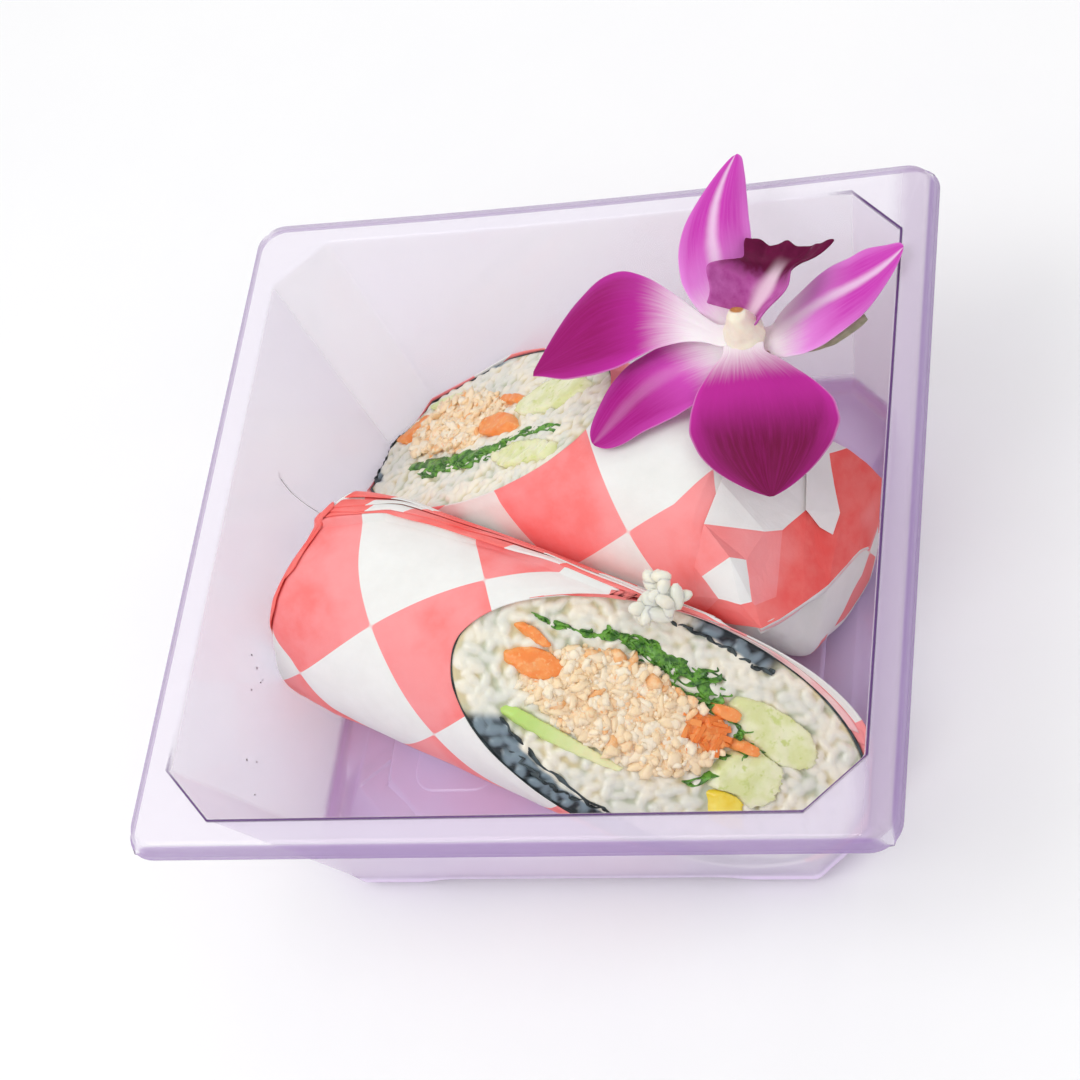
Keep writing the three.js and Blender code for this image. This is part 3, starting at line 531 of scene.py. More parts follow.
paper = dict(around=230, along=150, capRows=24, thickness=0.28, clearance=0.5, flapWidth=60, creaseSize=17,
             creaseDepth=0.32, endCrease=1.1, sunkEnd=3.4, drawnIn=10)


def laidIn(matrix, spot, clearance=paper["clearance"]):  # from a half's own millimetres, kept inside the tray
    return pressedIn(matrix @ spot / mm, clearance) * mm


def underFolds(half, angle):  # 1 where the folded end lies over the paper of the back half
    turn = (angle * 180 / pi + 50) % 360
    return smoothStep(0, 30, turn) * smoothStep(270, 240, turn) if half == "back" else 0


def skinPlace(half, radius, angle, x, inner=1.0, relief=0.0):
    # a place on the skin of a half: `inner` below 1 runs in over the closed end
    spec = halves[half]
    ahead = x + spec["length"]
    shrink = 1 - 0.155 * exp(-max(0, ahead) / 1.2) - 0.025 * max(0, 1 - ahead / 18)
    reach = (radius * shrink + relief) * inner
    setBack = spec["slope"] * max(0, sin(angle)) * fromEnd(spec, x, 34) * inner
    sunk = paper["sunkEnd"] * underFolds(half, angle)
    setBack += sunk * smoothStep(16, 2, ahead)
    reach -= 1.5 * sunk * fromEnd(spec, x, 22) * inner
    return Vector((x + setBack, reach * cos(angle), reach * sin(angle)))


checkCorners = dict(front=(-75.8, 33.9), back=(71.7, 23.3))  # one corner: along the roll, and round it


def checkPlace(half, angle, x):
    # where a point of the paper lies on its check, which runs at 45 degrees to the roll
    along = x if half == "front" else -x
    turn = pi - angle if half == "front" else angle
    arc = turn * roll["paperRadius"]
    if half == "front":  # the paper is drawn in towards its free edge at the closed end
        arc -= paper["drawnIn"] * smoothStep(35, 58, arc) * fromEnd(halves[half], x, 30)
    across, onward = along - checkCorners[half][0], arc - checkCorners[half][1]
    side = sqrt(2) * roll["checkSide"]
    return (across + onward) / side, (across - onward) / side


def endCheckPlace(across, high):
    # the same check on the closed end, whose white square stands on this corner and leans this far
    cornerY, cornerZ, lean = 20, -26, radians(165)
    y, z = across - cornerY, high - cornerZ
    side = roll["checkSide"]
    return (y * cos(lean) + z * sin(lean)) / side, (y * sin(lean) - z * cos(lean)) / side + 1


def paperRelief(half, angle, x, directions):
    spec = halves[half]
    degrees = angle * 180 / pi
    past = (seamAngle(half, x) - degrees) % 360
    flap = spec["lift"] * max(0, 1 - past / paper["flapWidth"]) ** 1.5 * smoothStep(359.4, 358, past)
    turn = (spec["pleats"] * degrees / 360 + x / 90) % 1
    pleat = spec["pleatDepth"] * fromEnd(spec, x, 26) * (0.5 - abs(2 * turn - 1))
    place = Vector((x, 31 * cos(angle), 31 * sin(angle)))
    strength = paper["creaseDepth"] + paper["endCrease"] * fromEnd(spec, x, 34) ** 1.3
    strength *= 0.55 + 0.9 * max(0, ripple(place, 26, spec["seed"]))
    crease = strength * creaseHeight(place, directions, paper["creaseSize"]) * 0.6
    pressed = max(0, cos(angle)) ** 4
    return (flap + pleat + crease + 0.25) * (1 - pressed)


def creaseDirections(seed):
    draw = Random(seed)
    return [Vector((draw.gauss(0, 0.7), draw.gauss(0, 1), draw.gauss(0, 1))).normalized() for _ in range(4)]


def paperEnd(half, angle):  # how far the paper runs past the cut, along the roll
    across = Vector((31 * cos(angle), 31 * sin(angle)))
    end = max(cutAt(half, *across), cutAt(half, *across, halves[half]["rise"]) - 1.2)
    return end + 0.3 + 0.35 * ripple(Vector((across.x, across.y, 0)), 7, halves[half]["seed"])


def makePaper(half, material):
    spec = halves[half]
    directions = creaseDirections(spec["seed"])
    matrix = halfMatrix(half)
    bm = bmesh.new()
    pattern = bm.loops.layers.uv.new("pattern")
    rows = paper["along"] + paper["capRows"]
    bmesh.ops.create_grid(bm, x_segments=paper["around"], y_segments=rows, size=1)
    capPart = paper["capRows"] / rows
    grid = {}
    for vert in bm.verts:
        angle = (vert.co.x + 1) * pi
        t = (vert.co.y + 1) / 2
        inner = min(1, t / capPart)
        onward = max(0, (t - capPart) / (1 - capPart)) ** 1.15
        x = -spec["length"] + onward * (paperEnd(half, angle) + spec["length"])
        # the rows of points follow the free edge, so that it steps down cleanly
        apart = (angle * 180 / pi - spec["seam"] + 180) % 360 - 180
        angle += radians(seamAngle(half, x) - spec["seam"]) * max(0, 1 - abs(apart) / 110)
        grid[vert] = (angle, x, inner)
    for face in bm.faces:
        overEnd = any(grid[vert][2] < 1 for vert in face.verts)
        for loop in face.loops:
            angle, x, inner = grid[loop.vert]
            across, high = 25.4 * inner * cos(angle), 25.4 * inner * sin(angle)
            loop[pattern].uv = endCheckPlace(across, high) if overEnd else checkPlace(half, angle, x)
    for vert, (angle, x, inner) in grid.items():
        relief = paperRelief(half, angle, x, directions)
        relief -= 0.45 * smoothStep(7, 0.5, paperEnd(half, angle) - x)
        place = skinPlace(half, roll["paperRadius"], angle, x, inner, relief)
        if inner < 1:
            place.x += creaseHeight(place, directions, 23) * (1 - inner) * inner * 2
        place.y = min(place.y, 31.02)
        vert.co = laidIn(matrix, place)
    bmesh.ops.remove_doubles(bm, verts=bm.verts, dist=0.02 * mm)
    piece = toPiece(bm, half + "Paper", material, "checked_paper", [half + "_wrap"], recalc=True)
    thicken(piece, paper["thickness"])


def makeSheet(name, place, material, slot, nodes, lengthwise, crosswise, thickness, inkAt=None, soft=True):
    # a thin curved sheet: place(u, v) with u from 0 to 1 along it and v from -1 to 1 across
    bm = bmesh.new()
    pattern = bm.loops.layers.uv.new("pattern")
    bmesh.ops.create_grid(bm, x_segments=lengthwise, y_segments=crosswise, size=1)
    spots = {vert: ((vert.co.x + 1) / 2, vert.co.y) for vert in bm.verts}
    for face in bm.faces:
        for loop in face.loops:
            loop[pattern].uv = inkAt(*spots[loop.vert]) if inkAt else spots[loop.vert]
    for vert, (u, v) in spots.items():
        vert.co = place(u, v)
    bmesh.ops.recalc_face_normals(bm, faces=bm.faces)
    piece = toPiece(bm, name, material, slot, nodes)
    thicken(piece, thickness, 0)
    if soft:
        smooth = piece.modifiers.new("smooth", "SUBSURF")
        smooth.levels = smooth.render_levels = 1
    return piece


# The free edge is a hem of thin folded layers. Each lies some degrees down from the edge, is this wide
# and this high, and turns from red to white and back at the places along the roll in `turns`.
hem = dict(start=-108, end=66, waver=1.8, thickness=0.2)
hemLayers = [
    dict(down=-0.6, wide=15, high=0.2, turns=(-55, -39, 20, 62), red=True),
    dict(down=5.2, wide=14, high=0.38, turns=(-98, -88, -47, -12), red=True),
    dict(down=11.5, wide=13, high=0.52, turns=(-100, -86, -30, 5), red=True),
    dict(down=17.5, wide=14, high=0.62, turns=(-97, -84, -20, 24), red=True),
]


def inkAlong(x, turns, red):
    passed = sum(x > turn for turn in turns)
    nearest = min((abs(x - turn) for turn in turns), default=50)
    sign = 1 if (passed % 2 == 0) == red else -1
    return 0.5, sign * min(0.5, nearest / 20)


def makeHem(material):
    half, directions = "front", creaseDirections(halves["front"]["seed"])
    matrix = halfMatrix(half)

    def along(u):
        return hem["start"] + (hem["end"] - hem["start"]) * u

    for number, layer in enumerate(hemLayers):
        def place(u, v):
            x, t = along(u), (v + 1) / 2
            edge = seamAngle(half, x) - layer["down"]
            edge += hem["waver"] * (sin(x / 13 + 2 * number) + 0.6 * sin(x / 5.1 + 1.7 * number))
            turn = radians(edge - layer["wide"] * t)
            under = radians(min(edge - layer["wide"] * t, seamAngle(half, x) - 2.5))
            rise = layer["high"] + 0.1 * exp(-(t / 0.15) ** 2) + 0.35 * sin(x / 7 + 3 * number) * t * (1 - t)
            rise -= (layer["high"] + 0.9) * smoothStep(0.55, 1, t)
            fade = smoothStep(paperEnd(half, turn) + 2.5, paperEnd(half, turn) - 1, x)
            x = min(x, paperEnd(half, turn) + 0.4 * number)
            relief = paperRelief(half, under, x, directions) + rise * (0.6 + 0.4 * fade)
            spot = skinPlace(half, roll["paperRadius"], turn, x, 1, relief)
            return laidIn(matrix, spot)

        makeSheet(f"frontHem{number}", place, material, "checked_paper", (), 150, 6, hem["thickness"],
                  lambda u, v: inkAlong(along(u), layer["turns"], layer["red"]), soft=False)


# The same hem where it turns round the rim of the closed end: its degrees round the roll, and its width
endHem = [(60, 122, 3.6), (68, 150, 2.4)]


def makeEndHem(material):
    half, directions = "front", creaseDirections(halves["front"]["seed"])
    matrix = halfMatrix(half)
    for number, (first, last, forward) in enumerate(endHem):
        def place(u, v):
            t = (v + 1) / 2
            turn = radians(first + (last - first) * u)
            narrow = smoothStep(0, 0.15, u) * smoothStep(1, 0.7, u)
            x = -halves[half]["length"] + 0.2 + (forward + 0.5 * sin(9 * u + number)) * narrow * (1 - t)
            rise = (0.9 + 0.4 * number) * sin(pi * (0.25 + 0.5 * t))
            relief = paperRelief(half, turn, x, directions) + rise
            return laidIn(matrix, skinPlace(half, roll["paperRadius"], turn, x, 1, relief))

        makeSheet(f"frontEndHem{number}", place, material, "checked_paper", (), 40, 5, hem["thickness"],
                  lambda u, v: (0.5, 0.5), soft=False)


# More layers of paper show inside its edge at the cut of the front half: their radius, how far they stay
# behind that edge, their degrees round the roll and their finish
rims = [(30.5, 1.3, -40, 88, "printed"), (30.2, 2.5, -34, 70, "back")]


def makeRims(materials):
    half = "front"
    matrix = halfMatrix(half)
    for number, (radius, short, first, last, look) in enumerate(rims):
        def place(u, v):
            t = (v + 1) / 2
            turn = radians(first + (last - first) * u)
            end = paperEnd(half, turn) - short + 0.3 * sin(21 * u + number)
            inside = Vector((end - 7 * t, radius * cos(turn), radius * sin(turn)))
            return laidIn(matrix, inside, paper["clearance"] + 0.3)

        makeSheet(f"frontRim{number}", place, materials[look], "checked_paper", (), 90, 4, 0.2,
                  lambda u, v: (0.5, 0.5), soft=False)


# Corners of the folds over the closed end of the back half, in that half's own millimetres
foldCorners = dict(
    a=(-105, 8, 18.5), b=(-109, -4.5, 12.5), c=(-112.3, -6, 7.5), d=(-115.4, -7, 3), e=(-118.6, -8, -8),
    f=(-118.8, 7.5, -1.5), g=(-117.3, 15.5, 2), h=(-115, 24, 5.3), i=(-112.4, 28.8, 6.6), j=(-110, 25.7, 12),
    k=(-104.8, 17.7, 19.2), l=(-107.4, 4.5, 15.2), m=(-113.4, 7.5, 7.4), n=(-112.4, 20, 8.6),
    o=(-106.2, -17, 16.6), p=(-107.6, -21, 14.8), q=(-114.4, -9.5, 5), r=(-109.6, -25.6, 11.6),
    s=(-113.6, -26.6, 5.2), t=(-116.8, -27, -1.5), u=(-117.6, -19.6, -11.5), v=(-117.9, -12.5, -13.5),
    w=(-116.8, -15, 1.4), x=(-115.8, -22.4, 2.6), y=(-95.6, 25.8, 18), z=(-102.4, 20.2, 23.2),
    aa=(-109.2, 25.4, 12.9), bb=(-107.2, 27.4, 13.6), cc=(-101, 28.2, 13.8),
)
# Where the folds leave the roll: how far along it, its radius there and the degrees round it
foldRing = dict(x=-93, radius=31.15, angles=(4, 21, 38, 60, 82, 108, 138, 166, 186))
# Faces of the folds with their ink; the lighter faces take the printed paper and the red ones the deeper fold
# paper: painted light and shade on the facets
foldFaces = [
    ("pink", "ring2 y z ring3"), ("pink", "z k a ring3"), ("pink", "a k j n l"),
    ("red", "l n m"), ("red", "m n h g f"), ("red", "n j i h"), ("red", "l m f b"), ("red", "b f e d c"),
    ("white", "ring3 a l b ring4"), ("white", "ring4 b o ring5"), ("white", "ring5 o p r ring6"),
    ("white", "ring6 r s ring7"), ("red", "p r s x w q"), ("red", "s t u v w x"), ("red", "w v e d"),
    ("white", "ring7 s t ring8"), ("white", "b c q p o"), ("red", "c d w q"),
    ("white", "y z k aa bb cc"), ("pink", "k j aa"), ("pink", "ring1 ring2 y cc ring0"),
    ("red", "cc bb aa j i ring0"),
]
foldTongue = [(-105.2, -14.5, 18.6), (-106.8, -21.5, 16.2), (-114.9, -9.8, 6.2), (-115.4, -4, 4.4),
              (-112.9, -3.2, 8), (-109.6, -4, 13.6)]


def foldPlaces():
    corners = dict(foldCorners)
    for k, angle in enumerate(foldRing["angles"]):
        turn = radians(angle)
        corners[f"ring{k}"] = (foldRing["x"], foldRing["radius"] * cos(turn), foldRing["radius"] * sin(turn))
    return corners


def makeFolds(materials):
    bm = bmesh.new()
    pattern = bm.loops.layers.uv.new("pattern")
    corners = {name: bm.verts.new(spot) for name, spot in foldPlaces().items()}
    for ink, names in foldFaces:
        face = bm.faces.new([corners[name] for name in names.split()])
        # the lighter faces get the printed paper, the rest the deeper fold paper: painted light and shade
        face.material_index = int(ink == "pink")
        for loop in face.loops:
            loop[pattern].uv = (0.5, -0.5 if ink == "white" else 0.5)
    tongue = bm.faces.new([bm.verts.new(spot) for spot in foldTongue])
    for loop in tongue.loops:
        loop[pattern].uv = (0.5, -0.5)
    bmesh.ops.triangulate(bm, faces=bm.faces)
    bmesh.ops.subdivide_edges(bm, edges=bm.edges, cuts=4, use_grid_fill=True)
    bmesh.ops.recalc_face_normals(bm, faces=bm.faces)
    bm.normal_update()
    matrix = halfMatrix("back")
    for vert in bm.verts:
        vert.co = laidIn(matrix, vert.co + vert.normal * 0.3 * ripple(vert.co, 5, 2))
    piece = toPiece(bm, "backFolds", materials["folded"], "checked_paper", smooth=False)
    piece.data.materials.append(materials["printed"])
    thicken(piece, 0.26, 0)


# The layers of the fold, seen edge on under it: how far down and back each lies, and its finish
foldEdges = [(0.5, 0.5, "printed"), (1.7, 1.0, "back"), (2.7, 1.5, "printed")]


def makeFoldEdges(materials):
    matrix = halfMatrix("back")
    # from the end by the front half to the far one
    path = [Vector(foldPlaces()[name]) for name in "ihgfev"]
    for number, (down, back, look) in enumerate(foldEdges):
        def place(u, v):
            t = (v + 1) / 2
            waver = 0.35 * sin(11 * u + 2 * number)
            off = Vector((back + 0.2 * t, 0, 2.2 * t - down - 1.2 + waver))
            return laidIn(matrix, alongPath(path, u) + off)

        makeSheet(f"backFoldEdge{number}", place, materials[look], "checked_paper", (), 46, 3, 0.2,
                  lambda u, v: (0.5, -0.5), soft=False)


def alongPath(path, u):  # a point along a list of corners, rounded between them
    at = min(len(path) - 1.001, max(0, u * (len(path) - 1)))
    k, t = int(at), at % 1
    before, first = path[max(0, k - 1)], path[k]
    second, after = path[k + 1], path[min(len(path) - 1, k + 2)]
    return (first * 2 + (second - before) * t + (before * 2 - first * 5 + second * 4 - after) * t * t
            + (first * 3 - before - second * 3 + after) * t ** 3) / 2


papers = dict(
    # painted light and shade: each paper's three reds are its print in shade, in half light and in full light
    printed=paperMaterial("checkedPaper", rgb(250, 124, 122), rgb(252, 144, 144), rgb(252, 162, 164)),
    # painted shade: a deeper red copy of the printed paper, for the folds and the hem
    folded=paperMaterial("shadedFoldPaper", rgb(246, 92, 86), rgb(250, 122, 116), rgb(252, 150, 148)),
    back=paperBackMaterial(),
)
for half in halves:
    makePaper(half, papers["printed"])
makeHem(papers["folded"])
makeEndHem(papers["folded"])
makeRims(papers)
makeFolds(papers)
makeFoldEdges(papers)
print("paper is wrapped")


def noriMaterial():
    material, tree, shader = newMaterial("nori", 0.42, Specular_IOR_Level=0.45)
    coords = objectCoords(tree)
    colour = mixColour(tree, between(tree, noiseValue(tree, coords, 4, 4), 0.35, 0.65),
                       rgb(26, 36, 38), rgb(74, 88, 92))
    tree.links.new(colour, shader.inputs["Base Color"])
    addBump(tree, shader, noiseValue(tree, coords, 1.6, 5, 0.65), 0.5)
    return material


def makeBody(name, half, radius, rows, around, ending, material, capRows=0, surface=None):
    # a layer of a half: its skin and, with `capRows`, its cut face, where surface(y, z) gives a height over
    # the cut and how much seaweed clings there
    spec = halves[half]
    matrix = halfMatrix(half)
    normal = cutNormal(half)
    endRows = 5
    total = rows + capRows + endRows
    bm = bmesh.new()
    pattern = bm.loops.layers.uv.new("pattern")
    bmesh.ops.create_grid(bm, x_segments=around, y_segments=total, size=1)
    clearance = paper["clearance"] + roll["paperRadius"] - radius
    looks = {}
    for vert in bm.verts:
        angle = (vert.co.x + 1) * pi
        row = (vert.co.y + 1) / 2 * total
        inner = min(1, row / endRows)
        onward = min(1, max(0, (row - endRows) / rows)) ** 0.6
        shrink = 1 - max(0, row - endRows - rows) / capRows if capRows else 1
        across = Vector((radius * cos(angle), radius * sin(angle))) * shrink
        end = cutAt(half, *across) + ending(half, across)
        start = -spec["length"] + roll["paperRadius"] - radius
        x = start + onward * (end - start)
        look = (0, 0.5)
        if onward >= 1 and surface:
            height, look = surface(across.x, across.y)
            place = Vector((end, across.x, across.y)) + normal * height * smoothStep(1, 0.96, shrink)
        else:
            place = skinPlace(half, radius, angle, x, inner, -0.5 * spec["pleatDepth"] * fromEnd(spec, x, 26))
            if surface and onward > 0.9:
                look = surface(across.x, across.y)[1]
        looks[vert] = look
        vert.co = laidIn(matrix, place, clearance)
    for face in bm.faces:
        for loop in face.loops:
            loop[pattern].uv = looks[loop.vert]
    bmesh.ops.remove_doubles(bm, verts=bm.verts, dist=0.02 * mm)
    slot = name.replace(half, "").lower()
    return toPiece(bm, name, material, slot, [f"{half}_{slot}"], recalc=True)


def noriEnding(half, across):
    return -0.75 + 0.5 * ripple(Vector((across.x, across.y, 3)), 5, halves[half]["seed"])


def riceEnding(half, across):
    return -0.9 + 0.3 * ripple(Vector((across.x, across.y, 7)), 4, halves[half]["seed"])


noriFinish = noriMaterial()
for half in halves:
    sheet = makeBody(half + "Nori", half, roll["noriRadius"], 60, 150, noriEnding, noriFinish)
    thicken(sheet, 0.35)
print("nori is rolled")


nodeTrees = {}


def nodeTree(name):
    if name not in nodeTrees:
        mesh = frame["nodes"][name].data
        corners = [vert.co for vert in mesh.vertices]
        nodeTrees[name] = BVHTree.FromPolygons(corners, [face.vertices[:] for face in mesh.polygons])
    return nodeTrees[name]


def faceSpots(half, node, count, spacing, seed, others=(), inset=1.5):
    # seeded places on a node's part of the cut face, at least `spacing` apart and clear of other nodes
    matrix = halfMatrix(half)
    normal = (matrix.to_3x3() @ cutNormal(half)).normalized()
    wanted = nodeTree(node)
    blocking = [nodeTree(other) for other in others]
    draw = Random(seed)
    reach = roll["riceRadius"] - inset
    spots = []
    for _ in range(count * 60):
        if len(spots) >= count:
            break
        y, z = draw.uniform(-reach, reach), draw.uniform(-reach, reach)
        if hypot(y, z) > reach:
            continue
        above = matrix @ Vector((cutAt(half, y, z), y, z)) + normal * 6 * mm
        hit = wanted.ray_cast(above, -normal, 9 * mm)[0]
        if hit is None or any((hit - spot).length < spacing * mm for spot in spots):
            continue
        if any(tree.ray_cast(above, -normal, 9 * mm)[0] for tree in blocking):
            continue
        spots.append(hit)
    return spots, normal, draw


def pile(items, addOne, batch=20):  # many small shapes in one mesh, made a few at a time to stay quick
    whole = bmesh.new()
    for start in range(0, len(items), batch):
        part = bmesh.new()
        for number, item in enumerate(items[start:start + batch]):
            addOne(part, item, start + number)
        mesh = bpy.data.meshes.new("part")
        part.to_mesh(mesh)
        part.free()
        whole.from_mesh(mesh)
        bpy.data.meshes.remove(mesh)
    return whole


def addLump(bm, place, normal, size, turn, tilt, rough=0.0, seed=0):
    # one rounded lump: size is its three half lengths in mm
    basis = up.rotation_difference(normal).to_matrix().to_4x4()
    spin = Matrix.Rotation(turn, 4, "Z") @ Matrix.Rotation(tilt, 4, "Y")
    shape = Matrix.Diagonal((*[s * mm for s in size], 1))
    made = bmesh.ops.create_icosphere(bm, subdivisions=2, radius=1,
                                      matrix=Matrix.Translation(place) @ basis @ spin @ shape)
    if rough:
        for vert in made["verts"]:
            off = vert.co - place
            vert.co = place + off * (1 + rough * ripple(off / mm + Vector((seed, 0, 0)), min(size) * 1.3))
    return made["verts"]


rice = dict(count=620, spacing=2.55, long=3.0, wide=1.7, high=1.15, low=-0.3, blend=5.5, cell=4.4,
            # the hollow pair is painted shade in the hollows between the grains
            grain=(rgb(227, 228, 216), rgb(242, 237, 219)), hollow=(rgb(194, 200, 176), rgb(220, 206, 164)),
            # the seaweed pair runs from a painted shade in its hollows to its tops
            seaweed=(rgb(30, 40, 46), rgb(122, 140, 150)))
# Where seaweed clings to the rice: from this many degrees round the roll to that, outside of a radius that
# runs from the first value to the second
clinging = dict(front=[(138, 250, 23.8, 29.4), (-8, 24, 25.4, 26.6)],
                back=[(196, 262, 27.6, 28.4), (262, 318, 27.0, 26.2)])


def seaweedAt(half, y, z):
    most = 0
    for first, last, fromRadius, toRadius in clinging[half]:
        turn = (atan2(z, y) * 180 / pi - first) % 360
        if turn < last - first:
            edge = fromRadius + (toRadius - fromRadius) * turn / (last - first)
            edge += 0.7 * ripple(Vector((y, z, 2)), 2.5)
            ends = smoothStep(0, 6, turn) * smoothStep(last - first, last - first - 6, turn)
            most = max(most, ends * smoothStep(edge - 0.25, edge + 0.35, hypot(y, z)))
    return most


def grainSurface(half):
    # the cut rice: grains pressed into one another, as a height for every place of the face
    others = [name for name in frame["nodes"] if name.startswith(half)
              and not name.endswith(("rice", "wrap", "nori", "greens"))]
    spots, _, draw = faceSpots(half, half + "_rice", rice["count"], rice["spacing"], halves[half]["seed"],
                               others, inset=0.8)
    inverse = halfMatrix(half).inverted()
    normal = cutNormal(half)
    level = (Vector((0, 1, 0)) - normal * normal.y).normalized()
    slanting = normal.cross(level)
    cells = {}
    for spot in spots:
        local = inverse @ spot
        a, b, turn = local.dot(level), local.dot(slanting), draw.uniform(0, pi)
        grain = (a, b, cos(turn), sin(turn), rice["long"] * draw.uniform(0.75, 1.15),
                 rice["wide"] * draw.uniform(0.8, 1.15), rice["high"] * draw.uniform(0.55, 1.15),
                 draw.uniform(-0.22, 0.22))
        cells.setdefault((int(a // rice["cell"]), int(b // rice["cell"])), []).append(grain)

    def surface(y, z):
        place = Vector((cutAt(half, y, z), y, z))
        a, b = place.dot(level), place.dot(slanting)
        column, row = int(a // rice["cell"]), int(b // rice["cell"])
        total = exp(rice["blend"] * rice["low"])
        for near in [(column + i, row + k) for i in (-1, 0, 1) for k in (-1, 0, 1)]:
            for ga, gb, c, s, long, wide, high, slope in cells.get(near, ()):
                along, aside = (a - ga) * c + (b - gb) * s, (b - gb) * c - (a - ga) * s
                q = (along / long) ** 2 + (aside / wide) ** 2
                if q < 1.5:
                    total += exp(rice["blend"] * (high * (1 - q) + slope * along))
        height = log(total) / rice["blend"] + 0.12 * ripple(Vector((a, b, 0)), 1.6)
        # the look holds the clinging seaweed and the height, which places the painted shade in the hollows
        return height - 0.55, (seaweedAt(half, y, z), min(1, max(0, (height + 0.3) / 1.5)))

    return surface


def riceMaterial(name="rice", seaweed=True):
    material, tree, shader = newMaterial(name, 0.3, Specular_IOR_Level=0.5)
    coords = objectCoords(tree)
    tint = between(tree, noiseValue(tree, coords, 9, 3), 0.38, 0.62)
    grain = mixColour(tree, tint, *rice["grain"])
    addGlow(shader, 0.6, 0.8, (1, 0.95, 0.75))
    if seaweed:
        cling, height, _ = splitUp(tree, uvCoords(tree))
        # painted shade: the hollows between grains, low on the stored height, take a darker, yellower colour
        hollow = mixColour(tree, tint, *rice["hollow"])
        rise = between(tree, height, 0.1, 0.72)
        grain = mixColour(tree, rise, hollow, grain)
        # painted shade: the clinging seaweed is darker where the rice lies lower
        dark = mixColour(tree, between(tree, height, 0.2, 0.85), *rice["seaweed"])
        grain = mixColour(tree, cling, grain, dark)
        clear = between(tree, cling, 0.0, 1.0, 0.25, 0.0)
        tree.links.new(clear, shader.inputs["Subsurface Weight"])
    tree.links.new(grain, shader.inputs["Base Color"])
    addBump(tree, shader, noiseValue(tree, coords, 1.1, 4), 0.12)
    return material


riceFinish = riceMaterial()
for half in halves:
    makeBody(half + "Rice", half, roll["riceRadius"], 22, 460, riceEnding, riceFinish, 82, grainSurface(half))
print("rice is packed")


def cutSheet(name, half, path, material, slot, shift=0.0, wave=0.4, waves=6, proud=0.5, deep=3.0,
             thickness=0.4, seed=0, steps=60):
    # a thin sheet that stands in the cut and shows its edge: `path` gives its places across the roll
    matrix = halfMatrix(half)
    corners = [Vector((*spot, 0)) for spot in path]

    def place(u, v):
        spot = alongPath(corners, u)
        ahead = (alongPath(corners, min(1, u + 0.02)) - alongPath(corners, max(0, u - 0.02))).normalized()
        t = (v + 1) / 2
        swing = 2 * pi * waves * u
        off = shift + wave * sin(swing + seed) + 0.8 * wave * sin(2.3 * swing + 2 * seed)
        spot += Vector((-ahead.y, ahead.x, 0)) * off * (1 - 0.4 * t)
        rise = proud * (0.8 + 0.5 * sin(1.4 * swing + 3 * seed)) * (1 - (2 * u - 1) ** 8)
        x = cutAt(half, spot.x, spot.y) - 0.5 + rise - deep * t
        return laidIn(matrix, Vector((x, spot.x, spot.y)), 1)

    return makeSheet(name, place, material, slot, (), steps, 4, thickness)


seaweedEdges = dict(
    frontTail=dict(half="front", path=[(-13, -26), (-20, -20.5), (-24.2, -12), (-25.2, -4), (-24.2, 5),
                                       (-21.8, 11), (-19.5, 15.5)], wave=0.3, proud=1.5, thickness=0.6),
    frontInner=dict(half="front", path=[(-24.9, -6), (-26.6, -1), (-27.2, 3.5), (-25, 10)], wave=0.5,
                    proud=1.4, thickness=0.5),
    frontCorner=dict(half="front", path=[(23.6, 12.8), (24.8, 9), (25.4, 4), (25.3, -0.5), (26.8, -3)],
                     wave=0.45, proud=1.4, thickness=0.6),
    backEdge=dict(half="back", path=[(-3, -28.4), (4, -28.6), (12, -26.4), (19, -21.6)], wave=0.35,
                  proud=1.3, thickness=0.5),
)
for number, (name, spec) in enumerate(seaweedEdges.items()):
    cutSheet(name + "Seaweed", material=noriFinish, slot="nori", seed=number, **spec)


def evenMesh(node, voxel, smoothing):
    bm = bmesh.new()
    bm.from_mesh(frame["nodes"][node].data)
    bmesh.ops.remove_doubles(bm, verts=bm.verts, dist=1e-6)
    mesh = bpy.data.meshes.new("work")
    bm.to_mesh(mesh)
    bm.free()
    work = bpy.data.objects.new("work", mesh)
    bpy.context.scene.collection.objects.link(work)
    remesh = work.modifiers.new("even", "REMESH")
    remesh.mode = "VOXEL"
    remesh.voxel_size = voxel * mm
    graph = bpy.context.evaluated_depsgraph_get()
    even = bmesh.new()
    even.from_mesh(bpy.data.meshes.new_from_object(work.evaluated_get(graph)))
    bpy.data.objects.remove(work)
    for _ in range(smoothing):
        bmesh.ops.smooth_vert(even, verts=even.verts, factor=0.5, use_axis_x=True, use_axis_y=True,
                              use_axis_z=True)
    return even


def roughen(bm, depth, size, seed=0):
    bm.normal_update()
    for vert in bm.verts:
        vert.co += vert.normal * depth * mm * ripple(vert.co / mm, size, seed)


def pieceByPiece(name, colours, glow=0.2):  # each separate bit has a colour of its own
    material, tree, shader = newMaterial(name, 0.42, Specular_IOR_Level=0.45)
    coords = objectCoords(tree)
    own = addNode(tree, "ShaderNodeNewGeometry").outputs["Random Per Island"]
    drift = noiseValue(tree, coords, 2.2, 3)
    colour = mixColour(tree, between(tree, own, 0.1, 0.55), colours[0], colours[1])
    few = between(tree, plus(tree, own, times(tree, drift, 0.3)), 1.02, 1.16)
    colour = mixColour(tree, few, colour, colours[2])
    tree.links.new(colour, shader.inputs["Base Color"])
    addGlow(shader, glow, 1.8, (1, 0.7, 0.45))
    addBump(tree, shader, noiseValue(tree, coords, 0.7, 4), 0.16)
    return material


